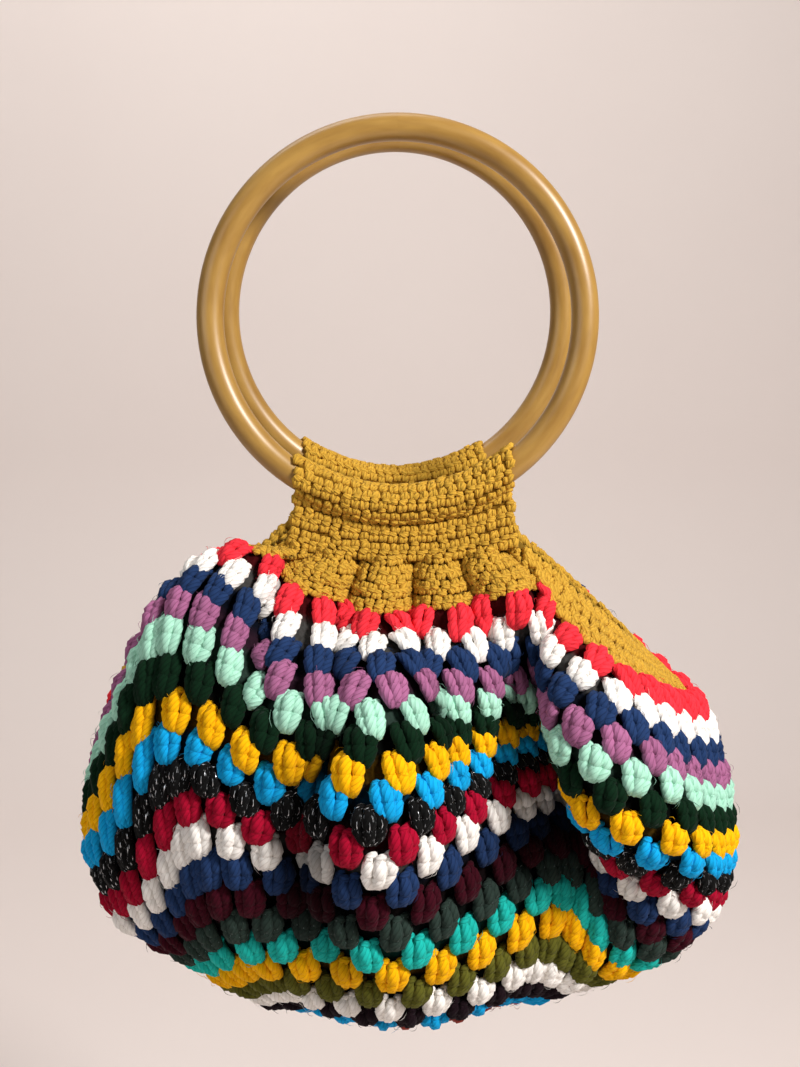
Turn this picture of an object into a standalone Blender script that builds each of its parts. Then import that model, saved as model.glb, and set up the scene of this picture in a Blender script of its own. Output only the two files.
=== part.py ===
"""Crocheted handbag with two ring handles.

One large square of coloured rounds, worked outwards from its centre, forms the whole sack: its
centre is the bottom of the bag. A mustard border runs round the square. Two opposite sides are
gathered in pleats onto two yokes, and each yoke is folded over a ring handle and sewn down. The
other two sides hang free and form the droop of the two side openings.

Frame: metres, +Z up, front towards -Y. The origin is the inner top of the rings, where a hand or
a hook carries the bag.
"""

import math

import bmesh
import bpy
import numpy as np

MM = 0.001

# Ring handles
RING_OUTER_DIAMETER = 175 * MM
RING_TUBE_DIAMETER = 12 * MM
RING_SPACING = 61 * MM
# The back ring hangs turned about the upright, and the front ring leans back with its yoke
BACK_TURN = math.radians(10)
FRONT_LEAN = math.radians(6)
RING_SEGMENTS = 60
RING_TUBE_SEGMENTS = 8

# Crochet square: rounds are counted from the centre
ROUND_COUNT = 25
ROW_HEIGHT = 10.5 * MM
CLUSTER_PITCH = 18 * MM
BORDER_WIDTH = 23 * MM
ROW_CREST_OUT = 3.2 * MM
ROW_CREST_IN = 2.6 * MM
BORDER_THICKNESS = 4.2 * MM
# Shares of the border's width between which it has its full thickness
BORDER_FLAT = (0.35, 0.8)

# Yokes: each is a little narrower round its ring than along its seam, and sits off the middle
YOKE_WIDTH = 102 * MM
YOKE_RING_WIDTH = 95 * MM
YOKE_SHIFT = 2.5 * MM
YOKE_CLOTH = 4 * MM
YOKE_DROP = 16 * MM
YOKE_END_RISE = 7 * MM
SLEEVE_CLEARANCE = 0.5 * MM
YOKE_STATIONS = 13
SLEEVE_SEGMENTS = 12
# Share of the sleeve's join left free where its channel meets the skirt
CHANNEL_START = 0.35

# Sewing yarn that fastens the turned-over edge of each yoke
SEWING_YARN = 1.8 * MM
STITCH_LENGTH = 4.5 * MM
STITCH_LENGTH_ALONG = 4.5 * MM
STITCH_TOP = 12 * MM
# Share of the yoke's width that is sewn
SEWN_SHARE = 0.9

# Free side edges: how far out and down the middle of each one hangs from the yokes' ends
RIM_OUT_RIGHT = 70 * MM
RIM_OUT_LEFT = 77 * MM
RIM_DROP = 66 * MM
# How far each quarter of the rims bulges away from the middle
RIM_BULGE_FRONT_RIGHT = 8 * MM
RIM_BULGE_BACK_RIGHT = 14 * MM
RIM_BULGE_BACK_LEFT = 16 * MM
RIM_BULGE_FRONT_LEFT = 2 * MM
# How each quarter curves outwards and downwards: 2 is a parabola, 1 is straight
RIM_CURVE_FRONT_RIGHT = (1.0, 0.95)
RIM_CURVE_BACK_RIGHT = (1.4, 1.3)
RIM_CURVE_LEFT = (1.6, 1.9)

PIECE_GAP = 0.3 * MM
ROUND_GAP = 0.5 * MM

# Derived sizes
RING_RADIUS = (RING_OUTER_DIAMETER - RING_TUBE_DIAMETER) / 2
RING_CENTRE_Z = RING_TUBE_DIAMETER / 2 - RING_RADIUS
SLEEVE_INNER = RING_TUBE_DIAMETER / 2 + SLEEVE_CLEARANCE
SLEEVE_OUTER = SLEEVE_INNER + YOKE_CLOTH
SEAM_Z = RING_CENTRE_Z - RING_OUTER_DIAMETER / 2 - YOKE_DROP
REACH = ROUND_COUNT * ROW_HEIGHT + BORDER_WIDTH
EDGE_ROW = REACH / ROW_HEIGHT

# The sack hangs from the seams. Its half width, half depth and drop are shares of the reach of the
# cloth from centre to edge.
SACK_SHARES = (0.525, 0.364, 0.788)

# Shape of the sack: for each line of the cloth from the centre outwards, its place round the loop
# (0 front left corner, 1 front right, 2 back right, 3 back left), then the points where it crosses
# the rows of SHAPE_ROWS: share of half width, share of half depth, share of the drop.
SHAPE_ROWS = (7, 11, 15, 18, 21, 25)
SHAPE_LINES = {
    0.00: ((-0.32, -0.48, 0.89), (-0.49, -0.71, 0.72), (-0.59, -0.79, 0.47),
           (-0.67, -0.71, 0.30), (-0.65, -0.60, 0.10), (-0.47, -0.40, -0.01)),
    0.25: ((-0.17, -0.63, 0.88), (-0.25, -0.85, 0.68), (-0.31, -0.92, 0.49),
           (-0.33, -0.90, 0.35), (-0.32, -0.77, 0.22), (-0.25, -0.52, 0.07)),
    0.50: ((0.00, -0.69, 0.88), (0.00, -0.93, 0.68), (0.00, -1.02, 0.47),
           (0.00, -0.97, 0.35), (0.00, -0.83, 0.22), (0.00, -0.54, 0.09)),
    0.75: ((0.24, -0.58, 0.87), (0.29, -0.71, 0.65), (0.39, -0.48, 0.46),
           (0.39, -0.42, 0.36), (0.36, -0.50, 0.25), (0.25, -0.54, 0.07)),
    0.88: ((0.35, -0.50, 0.86), (0.44, -0.56, 0.63), (0.49, -0.29, 0.49),
           (0.47, -0.26, 0.39), (0.41, -0.37, 0.25), (0.36, -0.50, 0.05)),
    1.00: ((0.42, -0.44, 0.86), (0.55, -0.48, 0.66), (0.59, -0.30, 0.52),
           (0.56, -0.29, 0.42), (0.47, -0.38, 0.27), (0.42, -0.45, 0.06)),
    1.12: ((0.51, -0.40, 0.89), (0.65, -0.52, 0.75), (0.63, -0.60, 0.58),
           (0.52, -0.83, 0.44), (0.45, -0.83, 0.28), (0.47, -0.52, 0.11)),
    1.30: ((0.56, -0.21, 0.93), (0.79, -0.42, 0.82), (0.88, -0.58, 0.67),
           (0.81, -0.81, 0.52), (0.71, -0.83, 0.36), (0.62, -0.56, 0.19)),
    1.50: ((0.56, 0.00, 0.95), (0.83, 0.00, 0.87), (0.99, 0.00, 0.76),
           (1.03, 0.00, 0.64), (1.00, 0.00, 0.50), (0.90, 0.00, 0.32)),
    1.75: ((0.46, 0.27, 0.94), (0.70, 0.38, 0.84), (0.84, 0.46, 0.67),
           (0.86, 0.50, 0.51), (0.82, 0.49, 0.36), (0.68, 0.43, 0.22)),
    2.00: ((0.33, 0.46, 0.93), (0.53, 0.67, 0.77), (0.65, 0.71, 0.54),
           (0.68, 0.65, 0.36), (0.62, 0.57, 0.21), (0.45, 0.44, 0.09)),
    2.50: ((0.00, 0.63, 0.93), (0.00, 0.83, 0.75), (0.00, 0.88, 0.54),
           (0.00, 0.85, 0.41), (0.00, 0.74, 0.27), (0.00, 0.54, 0.11)),
    3.00: ((-0.33, 0.44, 0.93), (-0.52, 0.63, 0.77), (-0.64, 0.67, 0.54),
           (-0.68, 0.62, 0.36), (-0.62, 0.53, 0.21), (-0.46, 0.40, 0.09)),
    3.25: ((-0.42, 0.25, 0.94), (-0.64, 0.36, 0.83), (-0.80, 0.42, 0.67),
           (-0.84, 0.44, 0.51), (-0.81, 0.44, 0.35), (-0.68, 0.37, 0.21)),
    3.50: ((-0.47, 0.00, 0.94), (-0.71, 0.00, 0.87), (-0.90, 0.00, 0.78),
           (-0.96, 0.00, 0.63), (-0.93, 0.00, 0.50), (-0.87, 0.00, 0.33)),
    3.80: ((-0.41, -0.31, 0.94), (-0.61, -0.42, 0.82), (-0.77, -0.48, 0.67),
           (-0.85, -0.46, 0.50), (-0.83, -0.40, 0.32), (-0.65, -0.31, 0.15)),
}
SACK_BOTTOM = (0.00, -0.04, 0.98)

# Pleats and hollows of the gathered sides: side (0 front, 2 back), place across the side and half
# width measured on the cloth, push outwards, spread sideways, lowest row reached, highest row.
FOLDS = {
    "front ridge a": (0, -176, 30, 7, 5, 20, EDGE_ROW),
    "front slot ab": (0, -136, 20, -12, -4, 18, EDGE_ROW),
    "front ridge b": (0, -100, 28, 8, 7, 16, EDGE_ROW),
    "front slot bc": (0, -54, 26, -13, -3, 12, EDGE_ROW),
    "front ridge c": (0, -10, 30, 10, 8, 11, EDGE_ROW),
    "front slot cd": (0, 30, 20, -12, -3, 17, EDGE_ROW),
    "front ridge d": (0, 62, 24, 7, 6, 18, EDGE_ROW),
    "front slot de": (0, 98, 20, -11, -3, 17, EDGE_ROW),
    "front ridge e": (0, 138, 30, 9, 7, 19, EDGE_ROW),
    "front slot ef": (0, 180, 20, -6, -2, 20, EDGE_ROW),
    "front hollow": (0, -62, 26, -14, 0, 10, 17),
    "back ridge a": (2, -150, 34, 8, 6, 17, EDGE_ROW),
    "back slot ab": (2, -100, 22, -10, -3, 18, EDGE_ROW),
    "back ridge b": (2, -55, 30, 8, 6, 16, EDGE_ROW),
    "back slot bc": (2, -5, 22, -12, -4, 16, EDGE_ROW),
    "back ridge c": (2, 45, 30, 8, 6, 14, EDGE_ROW),
    "back slot cd": (2, 95, 22, -10, -3, 18, EDGE_ROW),
    "back ridge d": (2, 145, 34, 8, 6, 17, EDGE_ROW),
}
FOLD_FADE_ROWS = 6
FOLD_SPREAD_GAIN = 1.6
FOLD_CORNER_MARGIN = 30 * MM
SEAM_HOLD_SHARE = 0.3
GATHER_AT_SEAM = 0.5

# Columns of the cloth's solids on the front, right, back and left side, from the outermost round
# inwards: every second column goes where a coarser zone begins.
COLUMNS_PER_SIDE = (36, 16, 24, 12)
COARSE_BELOW_ROUND = 18
COARSEST_BELOW_ROUND = 10
CREST_STEP_PLACE = 0.08
CREST_STEP_ROWS = 0.5

# Yarn colours, from the centre outwards
ROUND_COLOURS = (
    "plum", "straw", "teal_blue", "oatmeal", "brick", "sky_blue", "dark_plum", "off_white",
    "olive", "golden", "turquoise", "grey_green", "maroon", "denim", "off_white", "crimson",
    "sparkle_black", "sky_blue", "golden", "bottle_green", "mint", "mauve", "denim", "off_white",
    "coral_red",
)
# Base colour (linear), roughness, metallic
YARNS = {
    "plum": ((0.20, 0.05, 0.16), 0.85, 0.0),
    "straw": ((0.68, 0.52, 0.20), 0.85, 0.0),
    "teal_blue": ((0.02, 0.16, 0.24), 0.85, 0.0),
    "oatmeal": ((0.62, 0.54, 0.42), 0.85, 0.0),
    "brick": ((0.35, 0.06, 0.04), 0.85, 0.0),
    "sky_blue": ((0.01, 0.36, 0.72), 0.80, 0.0),
    "dark_plum": ((0.016, 0.008, 0.014), 0.85, 0.0),
    "off_white": ((0.84, 0.81, 0.76), 0.80, 0.0),
    "olive": ((0.10, 0.12, 0.02), 0.88, 0.0),
    "golden": ((0.88, 0.47, 0.01), 0.80, 0.0),
    "turquoise": ((0.02, 0.46, 0.40), 0.80, 0.0),
    "grey_green": ((0.03, 0.05, 0.04), 0.85, 0.1),
    "maroon": ((0.05, 0.005, 0.012), 0.85, 0.0),
    "denim": ((0.015, 0.04, 0.13), 0.80, 0.0),
    "crimson": ((0.26, 0.003, 0.025), 0.80, 0.0),
    "sparkle_black": ((0.008, 0.008, 0.008), 0.60, 0.3),
    "bottle_green": ((0.003, 0.018, 0.008), 0.80, 0.0),
    "mint": ((0.42, 0.74, 0.58), 0.80, 0.0),
    "mauve": ((0.45, 0.14, 0.33), 0.80, 0.0),
    "coral_red": ((0.80, 0.035, 0.03), 0.80, 0.0),
    "mustard": ((0.56, 0.32, 0.05), 0.85, 0.0),
    "ring_tan": ((0.46, 0.28, 0.09), 0.35, 0.0),
}


def clear_scene():
    for obj in list(bpy.data.objects):
        bpy.data.objects.remove(obj, do_unlink=True)


def make_material(name):
    colour, roughness, metallic = YARNS[name]
    material = bpy.data.materials.get(name)
    if material is None:
        material = bpy.data.materials.new(name)
        material.use_nodes = True
        shader = material.node_tree.nodes["Principled BSDF"]
        shader.inputs["Base Color"].default_value = (*colour, 1.0)
        shader.inputs["Roughness"].default_value = roughness
        shader.inputs["Metallic"].default_value = metallic
    return material


def add_object(name, data, collection, colour):
    obj = bpy.data.objects.new(name, data)
    obj.data.materials.append(make_material(colour))
    collection.objects.link(obj)
    return obj


def smooth_step(x):
    x = np.clip(x, 0.0, 1.0)
    return x * x * (3 - 2 * x)


def handle_point(front, x, y, z):
    """Places a point given in a handle's own frame: x along the seam, y away from the sack."""
    x, y, z = np.broadcast_arrays(x, y, z)
    if front:
        rise = z - RING_CENTRE_Z
        back = rise * math.sin(FRONT_LEAN) - y * math.cos(FRONT_LEAN)
        up = rise * math.cos(FRONT_LEAN) + y * math.sin(FRONT_LEAN)
        return np.stack([x, back - RING_SPACING / 2, RING_CENTRE_Z + up], -1)
    turned_x = x * math.cos(BACK_TURN) - y * math.sin(BACK_TURN)
    turned_y = x * math.sin(BACK_TURN) + y * math.cos(BACK_TURN)
    return np.stack([turned_x, RING_SPACING / 2 + turned_y, z], -1)


def yoke_x(front, a, width):
    """Place along the handle, from -1 to 1 across a yoke that sits a little off the middle."""
    return (YOKE_SHIFT if front else -YOKE_SHIFT) + a * width / 2


def seam_height(a):
    """Height of the seam between yoke and gathered edge: a shallow arc that rises to the ends."""
    return SEAM_Z + YOKE_END_RISE * a * a


def hanging_edge(front, a):
    """The cloth's edge where it hangs from a yoke's seam."""
    return handle_point(front, yoke_x(front, a, YOKE_WIDTH), 0.0, seam_height(a) - ROUND_GAP)


def rim_edge(a, sign):
    """A free side edge, from one yoke's end to the other's; sign is 1 on the right, -1 on the left."""
    m = np.abs(a)[:, None]
    first_half = (a < 0)[:, None]
    share = (1 + a)[:, None] / 2
    if sign > 0:
        out, bulges = RIM_OUT_RIGHT, (RIM_BULGE_FRONT_RIGHT, RIM_BULGE_BACK_RIGHT)
        curves = (RIM_CURVE_FRONT_RIGHT, RIM_CURVE_BACK_RIGHT)
    else:
        out, bulges = RIM_OUT_LEFT, (RIM_BULGE_BACK_LEFT, RIM_BULGE_FRONT_LEFT)
        curves = (RIM_CURVE_LEFT, RIM_CURVE_LEFT)
    start, end = hanging_edge(sign > 0, sign), hanging_edge(sign < 0, sign)
    line = start + (end - start) * share
    curve_out = np.where(first_half, curves[0][0], curves[1][0])
    curve_down = np.where(first_half, curves[0][1], curves[1][1])
    bulge = np.where(first_half, -bulges[0], bulges[1]) * np.sin(math.pi * m)
    x = line[:, :1] + sign * out * (1 - m ** curve_out)
    z = line[:, 2:] - RIM_DROP * (1 - m ** curve_down)
    return np.concatenate([x, line[:, 1:2] + sign * bulge, z], 1)


def cloth_edge(place):
    """Outer edge of the cloth: the two seams, and the free rims that droop between their ends."""
    place = place % 4
    side = np.floor(place).astype(int)
    a = 2 * (place - side) - 1
    sides = np.stack([hanging_edge(True, a), rim_edge(a, 1.0),
                      hanging_edge(False, -a), rim_edge(a, -1.0)])
    return sides[side, np.arange(len(place))]


def slopes_through(knots, values):
    """Slope at each knot of the curve through the values, from the steps on either side."""
    gaps = np.diff(knots)
    steps = np.diff(values, axis=0) / gaps[:, None]
    slopes = np.zeros_like(values)
    before, after = gaps[:-1, None], gaps[1:, None]
    slopes[1:-1] = (steps[:-1] * after + steps[1:] * before) / (before + after)
    slopes[0] = steps[0]
    slopes[-1] = steps[-1]
    return slopes


def curve_through(x, knots, values, slopes):
    """Cubic curve that passes through each value with the given slope."""
    i = np.clip(np.searchsorted(knots, x, side="right") - 1, 0, len(knots) - 2)
    gap = (knots[i + 1] - knots[i])[:, None]
    t = (x - knots[i])[:, None] / gap
    rise = t * t * (3 - 2 * t)
    return (values[i] * (1 - rise) + values[i + 1] * rise
            + gap * (slopes[i] * t * (1 - t) ** 2 - slopes[i + 1] * t * t * (1 - t)))


def sack_size(shares):
    """Turns shares of half width, half depth and drop into a place under the seams."""
    shares = np.asarray(shares, float)
    size = REACH * np.array(SACK_SHARES) * (1, 1, -1)
    return shares * size + np.array([0.0, 0.0, SEAM_Z])


def loop_at(place, level):
    """The closed loop of one shaping row, smooth through its points."""
    keys = np.array(sorted(SHAPE_LINES))
    points = sack_size([SHAPE_LINES[key][level] for key in keys])
    knots = np.concatenate([keys[-2:] - 4, keys, keys[:3] + 4])
    values = np.concatenate([points[-2:], points, points[:3]])
    return curve_through(place % 4, knots, values, slopes_through(knots, values))


def fold_push(place, row):
    """How far the pleats push each point of the cloth out or in, and sideways."""
    place = place % 4
    side = np.floor(place).astype(int)
    across_share = 2 * (place - side) - 1
    half = row * CLUSTER_PITCH / 2
    across = across_share * half
    inside = 1 - smooth_step((np.abs(across) - (half - FOLD_CORNER_MARGIN)) / FOLD_CORNER_MARGIN)
    near_seam = smooth_step((row - ROUND_COUNT) / (EDGE_ROW - ROUND_COUNT))
    push = np.zeros((len(place), 3))
    for on_side, centre, width, out, spread, low, high in FOLDS.values():
        u = (across - centre * MM) / (width * MM)
        fade = smooth_step((row - low) / FOLD_FADE_ROWS)
        if high < EDGE_ROW:
            fade = fade * (1 - smooth_step((row - high) / FOLD_FADE_ROWS))
        weight = np.exp(-u * u) * fade * inside * (side == on_side)
        face = -1.0 if on_side == 0 else 1.0
        push[:, 0] -= weight * u * spread * MM * face * FOLD_SPREAD_GAIN * (1 - near_seam)
        push[:, 1] += weight * out * MM * face * (1 - GATHER_AT_SEAM * near_seam)
    return push


def seam_hold(place):
    """1 where the edge is sewn to a yoke and hangs straight down from it, 0 along the free rims."""
    place = place % 4
    side = np.floor(place)
    from_corner = 1 - np.abs(2 * (place - side) - 1)
    return np.where(side % 2 == 0, 1.0, 1 - smooth_step(from_corner / SEAM_HOLD_SHARE))


def sack_point(place, row):
    """The sack without its pleats: place round the loop, 0 to 4, and row counted from the centre."""
    place = np.asarray(place, float)
    row = np.broadcast_to(np.asarray(row, float), place.shape)
    bottom = np.repeat(sack_size([SACK_BOTTOM]), len(place), axis=0)
    levels = [bottom] + [loop_at(place, i) for i in range(len(SHAPE_ROWS))] + [cloth_edge(place)]
    knots = np.array([0.0, *SHAPE_ROWS, EDGE_ROW])
    values = np.stack(levels)
    flat = values.reshape(len(knots), -1)
    slopes = slopes_through(knots, flat).reshape(values.shape)
    slopes[0, :, 2] = 0.0
    hang = seam_hold(place)[:, None]
    slopes[-1] = slopes[-1] * (1 - hang) + np.array([0.0, 0.0, ROW_HEIGHT]) * hang
    point = np.empty((len(place), 3))
    for i in range(len(knots) - 1):
        here = (row >= knots[i]) & ((row < knots[i + 1]) | (i == len(knots) - 2))
        if here.any():
            gap = knots[i + 1] - knots[i]
            t = ((row[here] - knots[i]) / gap)[:, None]
            rise = t * t * (3 - 2 * t)
            point[here] = (values[i][here] * (1 - rise) + values[i + 1][here] * rise
                           + gap * (slopes[i][here] * t * (1 - t) ** 2
                                    - slopes[i + 1][here] * t * t * (1 - t)))
    return point


def cloth_point(place, row):
    """Middle surface of the cloth, with its pleats."""
    place = np.asarray(place, float)
    row = np.broadcast_to(np.asarray(row, float), place.shape)
    return sack_point(place, row) + fold_push(place, row)


def crest_direction(place, row):
    """Direction in which a row's crest stands out of the sack, read across a few clusters."""
    row = np.broadcast_to(np.asarray(row, float), np.shape(place))
    high = np.minimum(row + CREST_STEP_ROWS, EDGE_ROW)
    along = sack_point(place + CREST_STEP_PLACE, row) - sack_point(place - CREST_STEP_PLACE, row)
    up = sack_point(place, high) - sack_point(place, np.maximum(row - CREST_STEP_ROWS, 0.0))
    normal = np.cross(along, up)
    return normal / np.linalg.norm(normal, axis=1, keepdims=True)


def columns(step):
    """Places of the solids' columns round the loop; step 2 or 4 keeps every second or fourth."""
    places = []
    for side, count in enumerate(COLUMNS_PER_SIDE):
        places += [side + i / count for i in range(count)]
    return np.array(places[::step])


def step_of_round(number):
    if number < COARSEST_BELOW_ROUND:
        return 4
    if number < COARSE_BELOW_ROUND:
        return 2
    return 1


def edge_points(row, own_step, shared_step):
    """Points along the line where two bands meet; a finer band follows the coarser one's chords."""
    points = cloth_point(columns(shared_step), row)
    while shared_step > own_step:
        middle = (points + np.roll(points, -1, axis=0)) / 2
        points = np.stack([points, middle], axis=1).reshape(-1, 3)
        shared_step //= 2
    return points


def finished_mesh(name, mesh):
    """Triangulates a closed shape, turns its faces outwards and returns it as mesh data."""
    bmesh.ops.triangulate(mesh, faces=mesh.faces)
    if mesh.calc_volume(signed=True) < 0:
        bmesh.ops.reverse_faces(mesh, faces=mesh.faces)
    data = bpy.data.meshes.new(name)
    mesh.to_mesh(data)
    mesh.free()
    return data


def band_mesh(name, loops):
    """A closed band: neighbouring loops joined by quads all the way round its section."""
    count = len(loops[0])
    total = len(loops)
    mesh = bmesh.new()
    rings = [[mesh.verts.new(point) for point in loop] for loop in loops]
    for j in range(total):
        lower, upper = rings[j], rings[(j + 1) % total]
        for i in range(count):
            k = (i + 1) % count
            mesh.faces.new((lower[i], lower[k], upper[k], upper[i]))
    bmesh.ops.remove_doubles(mesh, verts=mesh.verts, dist=1e-6)
    return finished_mesh(name, mesh)


def make_round(number, collection):
    """One round of clusters: a closed band of yarn with a crest outside and inside."""
    step = step_of_round(number)
    half_gap = ROUND_GAP / 2 / ROW_HEIGHT
    low = edge_points(number - 1 + (half_gap if number > 1 else 0.0), step,
                      step_of_round(number - 1) if number > 1 else step)
    high = edge_points(number - half_gap, step, step)
    place = columns(step)
    middle_row = number - 0.5
    middle = cloth_point(place, middle_row)
    normal = crest_direction(place, middle_row)
    loops = [low, middle + normal * ROW_CREST_OUT, high, middle - normal * ROW_CREST_IN]
    name = f"round_{number:02d}_{ROUND_COLOURS[number - 1]}"
    return add_object(name, band_mesh(name, loops), collection, ROUND_COLOURS[number - 1])


def make_border(collection):
    """The mustard border: a flat band of close stitches with rounded edges."""
    half_gap = ROUND_GAP / 2 / ROW_HEIGHT
    place = columns(1)
    low = cloth_point(place, ROUND_COUNT + half_gap)
    high = cloth_point(place, EDGE_ROW)
    width = EDGE_ROW - ROUND_COUNT
    loops = [low]
    for share in BORDER_FLAT:
        row = ROUND_COUNT + width * share
        loops.append(cloth_point(place, row) + crest_direction(place, row) * BORDER_THICKNESS / 2)
    loops.append(high)
    for share in reversed(BORDER_FLAT):
        row = ROUND_COUNT + width * share
        loops.append(cloth_point(place, row) - crest_direction(place, row) * BORDER_THICKNESS / 2)
    return add_object("border", band_mesh("border", loops), collection, "mustard")


def make_ring(front, collection):
    """A moulded ring handle, its own origin at its centre, turning about its axis."""
    name = "ring_handle_front" if front else "ring_handle_back"
    bpy.ops.mesh.primitive_torus_add(
        major_radius=RING_RADIUS, minor_radius=RING_TUBE_DIAMETER / 2,
        major_segments=RING_SEGMENTS, minor_segments=RING_TUBE_SEGMENTS)
    ring = bpy.context.object
    ring.name = name
    ring.data.name = name
    for owner in list(ring.users_collection):
        owner.objects.unlink(ring)
    collection.objects.link(ring)
    ring.data.materials.append(make_material("ring_tan"))
    ring.data.shade_smooth()
    ring.location = (0, (-1 if front else 1) * RING_SPACING / 2, RING_CENTRE_Z)
    ring.rotation_euler = (math.pi / 2 - (FRONT_LEAN if front else 0), 0, 0 if front else BACK_TURN)
    return ring


def tube_height(x, radius, turn):
    """Height of a tube round the ring's lower part, where an upright plane at x cuts it."""
    return RING_CENTRE_Z - np.sqrt((RING_RADIUS + radius * np.cos(turn)) ** 2 - x * x)


def yoke_sections(front):
    """For each station along the yoke: outer loop (sleeve and skirt) and inner loop (channel).

    The sections lie in upright planes across the ring, so that the yoke's ends hang straight.
    """
    outer, inner = [], []
    join = math.asin(YOKE_CLOTH / SLEEVE_OUTER)
    free = CHANNEL_START * join
    turn = np.linspace(join, 2 * math.pi - join, SLEEVE_SEGMENTS + 1)
    bore = np.linspace(free, 2 * math.pi - free, SLEEVE_SEGMENTS + 3)
    for a in np.linspace(-1, 1, YOKE_STATIONS):
        x = yoke_x(front, a, YOKE_RING_WIDTH)
        foot = yoke_x(front, a, YOKE_WIDTH)
        sleeve = handle_point(front, x, SLEEVE_OUTER * np.sin(turn),
                              tube_height(x, SLEEVE_OUTER, turn))
        near, far = (handle_point(front, foot, y, seam_height(a)) for y in (YOKE_CLOTH, -YOKE_CLOTH))
        outer.append(np.concatenate([[near], sleeve, [far]]))
        inner.append(handle_point(front, x, SLEEVE_INNER * np.sin(bore),
                                  tube_height(x, SLEEVE_INNER, bore)))
    return outer, inner


def make_yoke(front, collection):
    """A strip of close stitches folded over the ring: a sleeve open at both ends, and its skirt."""
    name = "yoke_front" if front else "yoke_back"
    outer, inner = yoke_sections(front)
    mesh = bmesh.new()
    outside = [[mesh.verts.new(p) for p in loop] for loop in outer]
    inside = [[mesh.verts.new(p) for p in loop] for loop in inner]
    count = len(outside[0])
    for rings in (outside, inside):
        for near, far in zip(rings, rings[1:]):
            for i in range(count):
                k = (i + 1) % count
                mesh.faces.new((near[i], near[k], far[k], far[i]))
    for end in (0, -1):
        for i in range(count):
            k = (i + 1) % count
            mesh.faces.new((outside[end][i], outside[end][k], inside[end][k], inside[end][i]))
    bmesh.ops.recalc_face_normals(mesh, faces=mesh.faces)
    return add_object(name, finished_mesh(name, mesh), collection, "mustard")


def make_seam(front, collection):
    """Slanting stitches along the inner face of a yoke, where its turned-over edge is sewn."""
    name = "yoke_seam_front" if front else "yoke_seam_back"
    stitches = int(YOKE_WIDTH * SEWN_SHARE / STITCH_LENGTH_ALONG)
    a = np.linspace(-SEWN_SHARE, SEWN_SHARE, stitches + 1)
    x = yoke_x(front, a, YOKE_RING_WIDTH)
    height = tube_height(x, 0.0, 0.0)
    drop = height - seam_height(a)
    share = (STITCH_TOP + STITCH_LENGTH * (np.arange(stitches + 1) % 2)) / drop
    x = x + (yoke_x(front, a, YOKE_WIDTH) - x) * share
    inner_face = -(YOKE_CLOTH + PIECE_GAP + SEWING_YARN / 2)
    points = handle_point(front, x, inner_face, height - drop * share)
    curve = bpy.data.curves.new(name, "CURVE")
    curve.dimensions = "3D"
    curve.bevel_depth = SEWING_YARN / 2
    curve.bevel_resolution = 1
    curve.use_fill_caps = True
    spline = curve.splines.new("POLY")
    spline.points.add(len(points) - 1)
    for target, point in zip(spline.points, points):
        target.co = (*point, 1.0)
    return add_object(name, curve, collection, "mustard")


def build():
    clear_scene()
    collection = bpy.data.collections.new("crocheted_handbag")
    bpy.context.scene.collection.children.link(collection)
    for front in (True, False):
        make_ring(front, collection)
        make_yoke(front, collection)
        make_seam(front, collection)
    make_border(collection)
    for number in range(1, ROUND_COUNT + 1):
        make_round(number, collection)


build()
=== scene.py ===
"""Crocheted handbag with two ring handles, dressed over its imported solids.

The sack is one granny square. Its middle surface is worked out from the place round the loop (0 to
4, 0 at the front left corner) and the row counted from the centre, as in the part's source. Every
stitch is made of short strands of yarn laid on that surface.
"""

import math

import bpy
import numpy as np
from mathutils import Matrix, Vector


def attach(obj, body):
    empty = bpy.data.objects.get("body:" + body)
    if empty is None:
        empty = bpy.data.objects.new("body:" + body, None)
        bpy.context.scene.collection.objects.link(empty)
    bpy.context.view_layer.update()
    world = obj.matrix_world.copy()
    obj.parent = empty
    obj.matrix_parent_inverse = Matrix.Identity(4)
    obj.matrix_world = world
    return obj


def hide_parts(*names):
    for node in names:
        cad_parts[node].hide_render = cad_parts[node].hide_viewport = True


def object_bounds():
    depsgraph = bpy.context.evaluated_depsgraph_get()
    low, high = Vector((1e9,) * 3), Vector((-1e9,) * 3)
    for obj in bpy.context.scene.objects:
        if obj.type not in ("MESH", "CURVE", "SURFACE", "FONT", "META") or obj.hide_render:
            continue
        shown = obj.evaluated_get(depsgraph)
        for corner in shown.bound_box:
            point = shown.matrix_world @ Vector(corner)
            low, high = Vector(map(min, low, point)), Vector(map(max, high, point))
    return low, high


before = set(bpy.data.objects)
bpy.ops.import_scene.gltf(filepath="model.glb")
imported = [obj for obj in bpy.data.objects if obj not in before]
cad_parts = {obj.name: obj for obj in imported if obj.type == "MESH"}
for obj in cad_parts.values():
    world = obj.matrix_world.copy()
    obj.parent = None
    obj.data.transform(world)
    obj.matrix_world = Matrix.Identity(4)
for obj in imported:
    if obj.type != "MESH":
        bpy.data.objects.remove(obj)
CAD_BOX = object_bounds()

MM = 0.001

# Ring handles
RING_OUTER_DIAMETER = 175 * MM
RING_TUBE_DIAMETER = 12 * MM
RING_SPACING = 61 * MM
# The back ring hangs turned about the upright, and the front ring leans back with its yoke
BACK_TURN = math.radians(10)
FRONT_LEAN = math.radians(6)

# Crochet square: rounds are counted from the centre
ROUND_COUNT = 25
ROW_HEIGHT = 10.5 * MM
CLUSTER_PITCH = 18 * MM
BORDER_WIDTH = 23 * MM

# Yokes: each is a little narrower round its ring than along its seam, and sits off the middle
YOKE_WIDTH = 102 * MM
YOKE_RING_WIDTH = 95 * MM
YOKE_SHIFT = 2.5 * MM
YOKE_CLOTH = 4 * MM
YOKE_DROP = 16 * MM
YOKE_END_RISE = 7 * MM

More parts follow.
